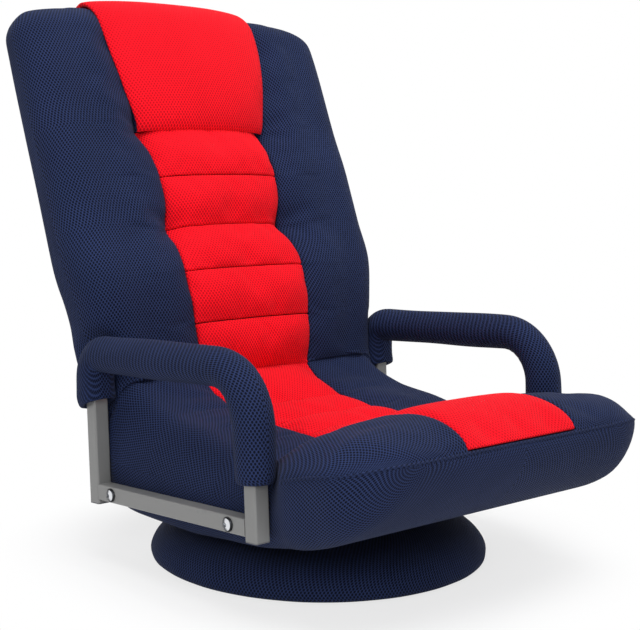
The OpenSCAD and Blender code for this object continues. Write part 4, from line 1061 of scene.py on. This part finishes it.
class CHAIR_OT_arm_sleeves(bpy.types.Operator):
    """Makes the padded navy sleeves of both armrests"""
    bl_idname = "chair.arm_sleeves"
    bl_label = "Arm sleeves"

    def execute(self, context):
        sizes, count = context.scene.chair_sizes, 32
        radius, bore = sizes.sleeve_radius / MM, 13.2
        path = arm_path()
        run = np.concatenate([[0], np.cumsum([math.dist(a[:2], b[:2]) for a, b in zip(path, path[1:])])])
        turn = np.arange(count) * 2 * math.pi / count
        inner = np.clip(-np.cos(turn), 0, 1)
        for side, name in ((1, "left"), (-1, "right")):
            rings = []
            for (y, z, way, bend), at in zip(path, run):
                to_front, to_rear = at, run[-1] - at
                # A slow waver, and a fuller rear end
                r = np.full(count, radius) + 0.5 * np.sin(at / 31 + side) + 0.9 * float(ease(26, 0, to_rear))
                # Drawn in at both hems, and further at the rear one's outer side
                r -= 2.2 * float(ease(5, 0, to_front)) + 1.0 * float(ease(4, 0, to_rear))
                r -= 3.4 * float(ease(13, 0, to_rear)) * np.clip(0.35 + 0.65 * np.cos(turn), 0, 1)
                # Tucks inside each bend, a slight twist, and the seam along the underside
                r -= bend * inner * (1.1 + 1.3 * np.sin(at * 2 * math.pi / (9 if y > 200 else 15)))
                r -= 0.35 * np.sin(3 * turn + at / 17) * (0.4 + bend)
                r -= 1.1 * np.exp(-((turn - math.pi) * radius / 2.2) ** 2)
                # Loose cloth above the rear end, whose hem is cut askew
                baggy = float(ease(58, 30, to_rear) * ease(0, 16, to_rear))
                r += baggy * (2.2 * np.clip(np.cos(turn), 0, 1) - 2.6 * inner ** 2)
                oblique = 8 * np.cos(turn) * float(ease(44, 0, to_rear))
                rings.append((y, z, math.radians(way), r, oblique))
            # The hems turn in to the bore, which runs back along the tube
            lining, level = np.full(count, bore), 0 * turn
            for end, in_by in ((0, 5), (-1, 6)):
                y, z, way, r, oblique = rings[end]
                hem = [(y, z + 2, way, r - in_by, oblique), (y, z + 8, way, lining, oblique)]
                rings = hem[::-1] + rings if end == 0 else rings + hem
            rings += [(y, z, math.radians(w), lining, level) for y, z, w, _ in reversed(path[2:-2])]
            grid = np.zeros((len(rings), count, 3))
            for i, (y, z, way, r, oblique) in enumerate(rings):
                out_y, out_z = -math.sin(way), math.cos(way)
                for j in range(count):
                    py = y + r[j] * math.cos(turn[j]) * out_y + oblique[j] * math.cos(way)
                    pz = z + r[j] * math.cos(turn[j]) * out_z + oblique[j] * math.sin(way)
                    grid[i, j] = [side * (ARM_X + r[j] * math.sin(turn[j])), *arm_point(py, pz)]
            piece = make_piece(f"sleeve_{name}", [closed_tube(grid, 5)], navy(context))
            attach(piece, "seat")
            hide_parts(f"arm_sleeve_{name}")
        return {"FINISHED"}


# Profile of the base from its lower edge over its shoulder into its well, then back below: radius and height
BASE_OUTER = [(201.5, 1.5), (207, .6), (212.5, 2), (215.5, 6), (216.4, 11), (215, 17), (211, 24),
              (205, 30.5), (197, 36.5), (187, 41), (174, 45), (156, 48.4), (136, 50.4), (116, 51.6),
              (102, 52), (96.5, 51.4), (94.4, 49.6), (94.2, 47.6)]
BASE_INNER = [(120, 42), (150, 34.5), (168, 30.6), (200.6, 30.6), (200.6, 12)]
# Height at which the padding's waver is largest, and its reach above and below
WAVER_Z, WAVER_REACH = 14, 13


class CHAIR_OT_base_bun(bpy.types.Operator):
    """Makes the padded round base"""
    bl_idname = "chair.base_bun"
    bl_label = "Base bun"

    def execute(self, context):
        turns = 120
        profile = np.array(BASE_OUTER + BASE_INNER, float)
        grid = np.zeros((len(profile), turns, 3))
        for k in range(turns):
            a = 2 * math.pi * k / turns
            soft = 0.7 * math.sin(5 * a + 1) + 0.5 * math.sin(11 * a + 2) + 0.35 * math.sin(23 * a)
            for i, (r, z) in enumerate(profile):
                if i < len(BASE_OUTER) and r > 150:
                    r += soft * math.exp(-((z - WAVER_Z) / WAVER_REACH) ** 2)
                grid[i, k] = [r * math.cos(a), r * math.sin(a), z]
        piece = make_piece("base_bun", [closed_tube(grid, 4)], navy(context))
        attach(piece, "base")
        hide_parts("base_cushion")
        return {"FINISHED"}


class CHAIR_OT_hardware(bpy.types.Operator):
    """Gives each steel, plastic and elastic part its finish"""
    bl_idname = "chair.hardware"
    bl_label = "Hardware finishes"

    def execute(self, context):
        colours = context.scene.chair_colours
        arm = hard_finish("grey_arm_paint", colours.tube, 0.42, coat=0.15, worn=linear(96, 97, 100),
                          grain=1400.0)
        dark = hard_finish("dark_frame_paint", linear(52, 54, 60), 0.5, worn=linear(108, 108, 110))
        zinc = hard_finish("zinc_plate", linear(178, 181, 186), 0.38, metal=1.0,
                           worn=linear(130, 132, 136), spread=0.2)
        # The chrome's rim colour is a painted dark reflection at the edges of its parts
        chrome = hard_finish("bright_chrome", linear(222, 224, 228), 0.14, metal=1.0, bump=0.06, spread=0.08,
                             rim=linear(60, 62, 66))
        oxide = hard_finish("black_oxide", linear(44, 45, 48), 0.42, metal=1.0, worn=linear(90, 90, 92))
        brass = hard_finish("brass_cage", linear(190, 158, 86), 0.34, metal=1.0, worn=linear(140, 112, 58))
        plastic = hard_finish("grey_plug_plastic", linear(92, 93, 96), 0.55, grain=2200.0)
        elastic = woven_band("black_elastic", linear(30, 30, 34))
        cloth = woven_band("black_non_woven", linear(26, 27, 30))
        finishes = {
            arm: ["arm_frame_left", "arm_frame_right"],
            dark: ["base_ring", "base_spider", "seat_frame", "seat_carrier", "hinge_brackets", "back_frame",
                   "back_rods"],
            zinc: ["swivel_lower_plate", "swivel_upper_plate", "swivel_rivet", "swivel_lower_nuts",
                   "swivel_upper_nuts", "arm_weld_nuts", "ratchet_plates", "pawl_left", "pawl_right",
                   "pivot_pins", "pawl_pins"],
            chrome: ["arm_bolts", "swivel_balls", "swivel_lower_bolts", "swivel_upper_bolts",
                     "pawl_springs"],
            oxide: ["arm_washers"],
            brass: ["swivel_ball_cage"],
            plastic: ["arm_end_caps"],
            elastic: ["seat_bands", "back_bands"],
            cloth: ["base_cover"],
        }
        for material, names in finishes.items():
            for name in names:
                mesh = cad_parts[name].data
                mesh.materials.clear()
                mesh.materials.append(material)
        return {"FINISHED"}


# Radius and height of the floor, and name, place, size and power of each lamp, in metres and watts
FLOOR_RADIUS, FLOOR_Z = 9, -0.0006
LAMPS = [("over", (-0.3, -0.6, 2.6), 2.0, 53), ("front_left", (-2.3, -1.75, 1.5), 1.1, 31),
         ("right", (2.4, -0.6, 1.5), 1.6, 8)]
LIT_POINT = Vector((0, 0, 0.3))
# Camera of the photograph: its angles in degrees, its place, and its focal length and width in pixels
VIEW_TURN, VIEW_DOWN, VIEW_ROLL = -41.46676, 7.009298, 0.751142
VIEW_PLACE = Vector((-1.14199921, -1.28898196, 0.519822669))
VIEW_FOCAL, VIEW_WIDTH = 1363.51983, 640


class CHAIR_OT_stage(bpy.types.Operator):
    """Makes the floor, the studio light and the camera"""
    bl_idname = "chair.stage"
    bl_label = "Stage"

    def execute(self, context):
        scene = context.scene
        floor_mesh = bpy.data.meshes.new("studio_floor")
        turns = [2 * math.pi * k / 64 for k in range(64)]
        rim = [(FLOOR_RADIUS * math.cos(a), FLOOR_RADIUS * math.sin(a), FLOOR_Z) for a in turns]
        floor_mesh.from_pydata(rim, [], [list(range(64))])
        floor = bpy.data.objects.new("studio_floor", floor_mesh)
        scene.collection.objects.link(floor)
        material, m, shader = begin("studio_floor", {"Roughness": 0.7, "Specular IOR Level": 0.15})
        paper = m.noise(m.node("ShaderNodeTexCoord").outputs["Object"], 40.0, 3.0)
        m.link(m.mix(paper, (0.85, 0.85, 0.855, 1), (0.87, 0.87, 0.875, 1)), shader, "Base Color")
        # Painted shadow: the floor shows its lit shading only within about 0.27 to 0.44 m of the chair and
        # glows white beyond, so the grey disc round the chair has a painted edge, while the shade inside it
        # comes from the lamps
        far = m.vector("LENGTH", m.node("ShaderNodeTexCoord").outputs["Object"]).outputs["Value"]
        ray = m.node("ShaderNodeLightPath")
        seen = m.math("MAXIMUM", ray.outputs["Is Camera Ray"], ray.outputs["Is Glossy Ray"])
        white = m.node("ShaderNodeEmission", {"Color": (1, 1, 1, 1), "Strength": 1.0})
        share = m.math("MULTIPLY", m.ramp(far, 0.27, 0.44, 0.72, 1.0), seen)
        both = m.node("ShaderNodeMixShader", {0: share, 1: shader.outputs[0], 2: white.outputs[0]})
        below = m.node("ShaderNodeNewGeometry").outputs["Backfacing"]
        clear = m.node("ShaderNodeBsdfTransparent")
        open_below = m.node("ShaderNodeMixShader", {0: below, 1: both.outputs[0], 2: clear.outputs[0]})
        out = next(n for n in m.tree.nodes if n.bl_idname == "ShaderNodeOutputMaterial")
        m.link(open_below.outputs[0], out, "Surface")
        floor_mesh.materials.append(material)

        world = bpy.data.worlds.new("studio")
        world.use_nodes = True
        world.node_tree.nodes.clear()
        w = Maker(world.node_tree)
        ray = w.node("ShaderNodeLightPath")
        seen = w.math("MAXIMUM", ray.outputs["Is Camera Ray"], ray.outputs["Is Glossy Ray"])
        seen = w.math("MAXIMUM", seen, ray.outputs["Is Transmission Ray"])
        soft = w.node("ShaderNodeBackground", {"Color": (0.97, 0.98, 1, 1), "Strength": 0.48})
        white = w.node("ShaderNodeBackground", {"Color": (1, 1, 1, 1), "Strength": 1.0})
        both = w.node("ShaderNodeMixShader", {0: seen, 1: soft.outputs[0], 2: white.outputs[0]})
        out = w.node("ShaderNodeOutputWorld")
        w.link(both.outputs[0], out, "Surface")
        scene.world = world

        for name, at, size, power in LAMPS:
            lamp = bpy.data.lights.new(name, "AREA")
            lamp.shape, lamp.size, lamp.energy = "DISK", size, power
            light = bpy.data.objects.new(name, lamp)
            light.location = at
            light.rotation_euler = (LIT_POINT - Vector(at)).to_track_quat("-Z", "Y").to_euler()
            scene.collection.objects.link(light)

        turn, down, roll = (math.radians(a) for a in (VIEW_TURN, VIEW_DOWN, VIEW_ROLL))
        ahead = Vector((-math.sin(turn) * math.cos(down), math.cos(turn) * math.cos(down), -math.sin(down)))
        right = Vector((math.cos(turn), math.sin(turn), 0))
        up = right.cross(ahead)
        x_axis = right * math.cos(roll) + up * math.sin(roll)
        y_axis = up * math.cos(roll) - right * math.sin(roll)
        view = bpy.data.cameras.new("photo_view")
        view.sensor_width, view.lens = 36, VIEW_FOCAL / VIEW_WIDTH * 36
        camera = bpy.data.objects.new("photo_view", view)
        place = Matrix((x_axis, y_axis, -ahead)).transposed().to_4x4()
        place.translation = VIEW_PLACE
        camera.matrix_world = place
        scene.collection.objects.link(camera)
        scene.camera = camera
        scene.view_settings.view_transform = "Standard"
        return {"FINISHED"}


STEPS = ("stage", "navy_covers", "red_panels", "head_pillow", "underside", "seat_welt", "arm_sleeves",
         "base_bun", "hardware")


class CHAIR_PT_panel(bpy.types.Panel):
    """Sizes, colours and steps of the chair"""
    bl_idname = "CHAIR_PT_panel"
    bl_label = "Floor Chair"
    bl_space_type = "VIEW_3D"
    bl_region_type = "UI"
    bl_category = "Floor Chair"

    def draw(self, context):
        for group in (context.scene.chair_sizes, context.scene.chair_colours):
            for key in group.bl_rna.properties.keys():
                if key not in ("rna_type", "name"):
                    self.layout.prop(group, key)
        for step in STEPS:
            self.layout.operator(f"chair.{step}")


CLASSES = (ChairSizes, ChairColours, CHAIR_OT_stage, CHAIR_OT_navy_covers, CHAIR_OT_red_panels,
           CHAIR_OT_head_pillow, CHAIR_OT_underside, CHAIR_OT_seat_welt, CHAIR_OT_arm_sleeves,
           CHAIR_OT_base_bun, CHAIR_OT_hardware, CHAIR_PT_panel)


def register():
    for kind in CLASSES:
        bpy.utils.register_class(kind)
    bpy.types.Scene.chair_sizes = bpy.props.PointerProperty(type=ChairSizes)
    bpy.types.Scene.chair_colours = bpy.props.PointerProperty(type=ChairColours)


def unregister():
    del bpy.types.Scene.chair_colours
    del bpy.types.Scene.chair_sizes
    for kind in reversed(CLASSES):
        bpy.utils.unregister_class(kind)


def main():
    register()
    for step in STEPS:
        getattr(bpy.ops.chair, step)()


if __name__ == "__main__":
    main()
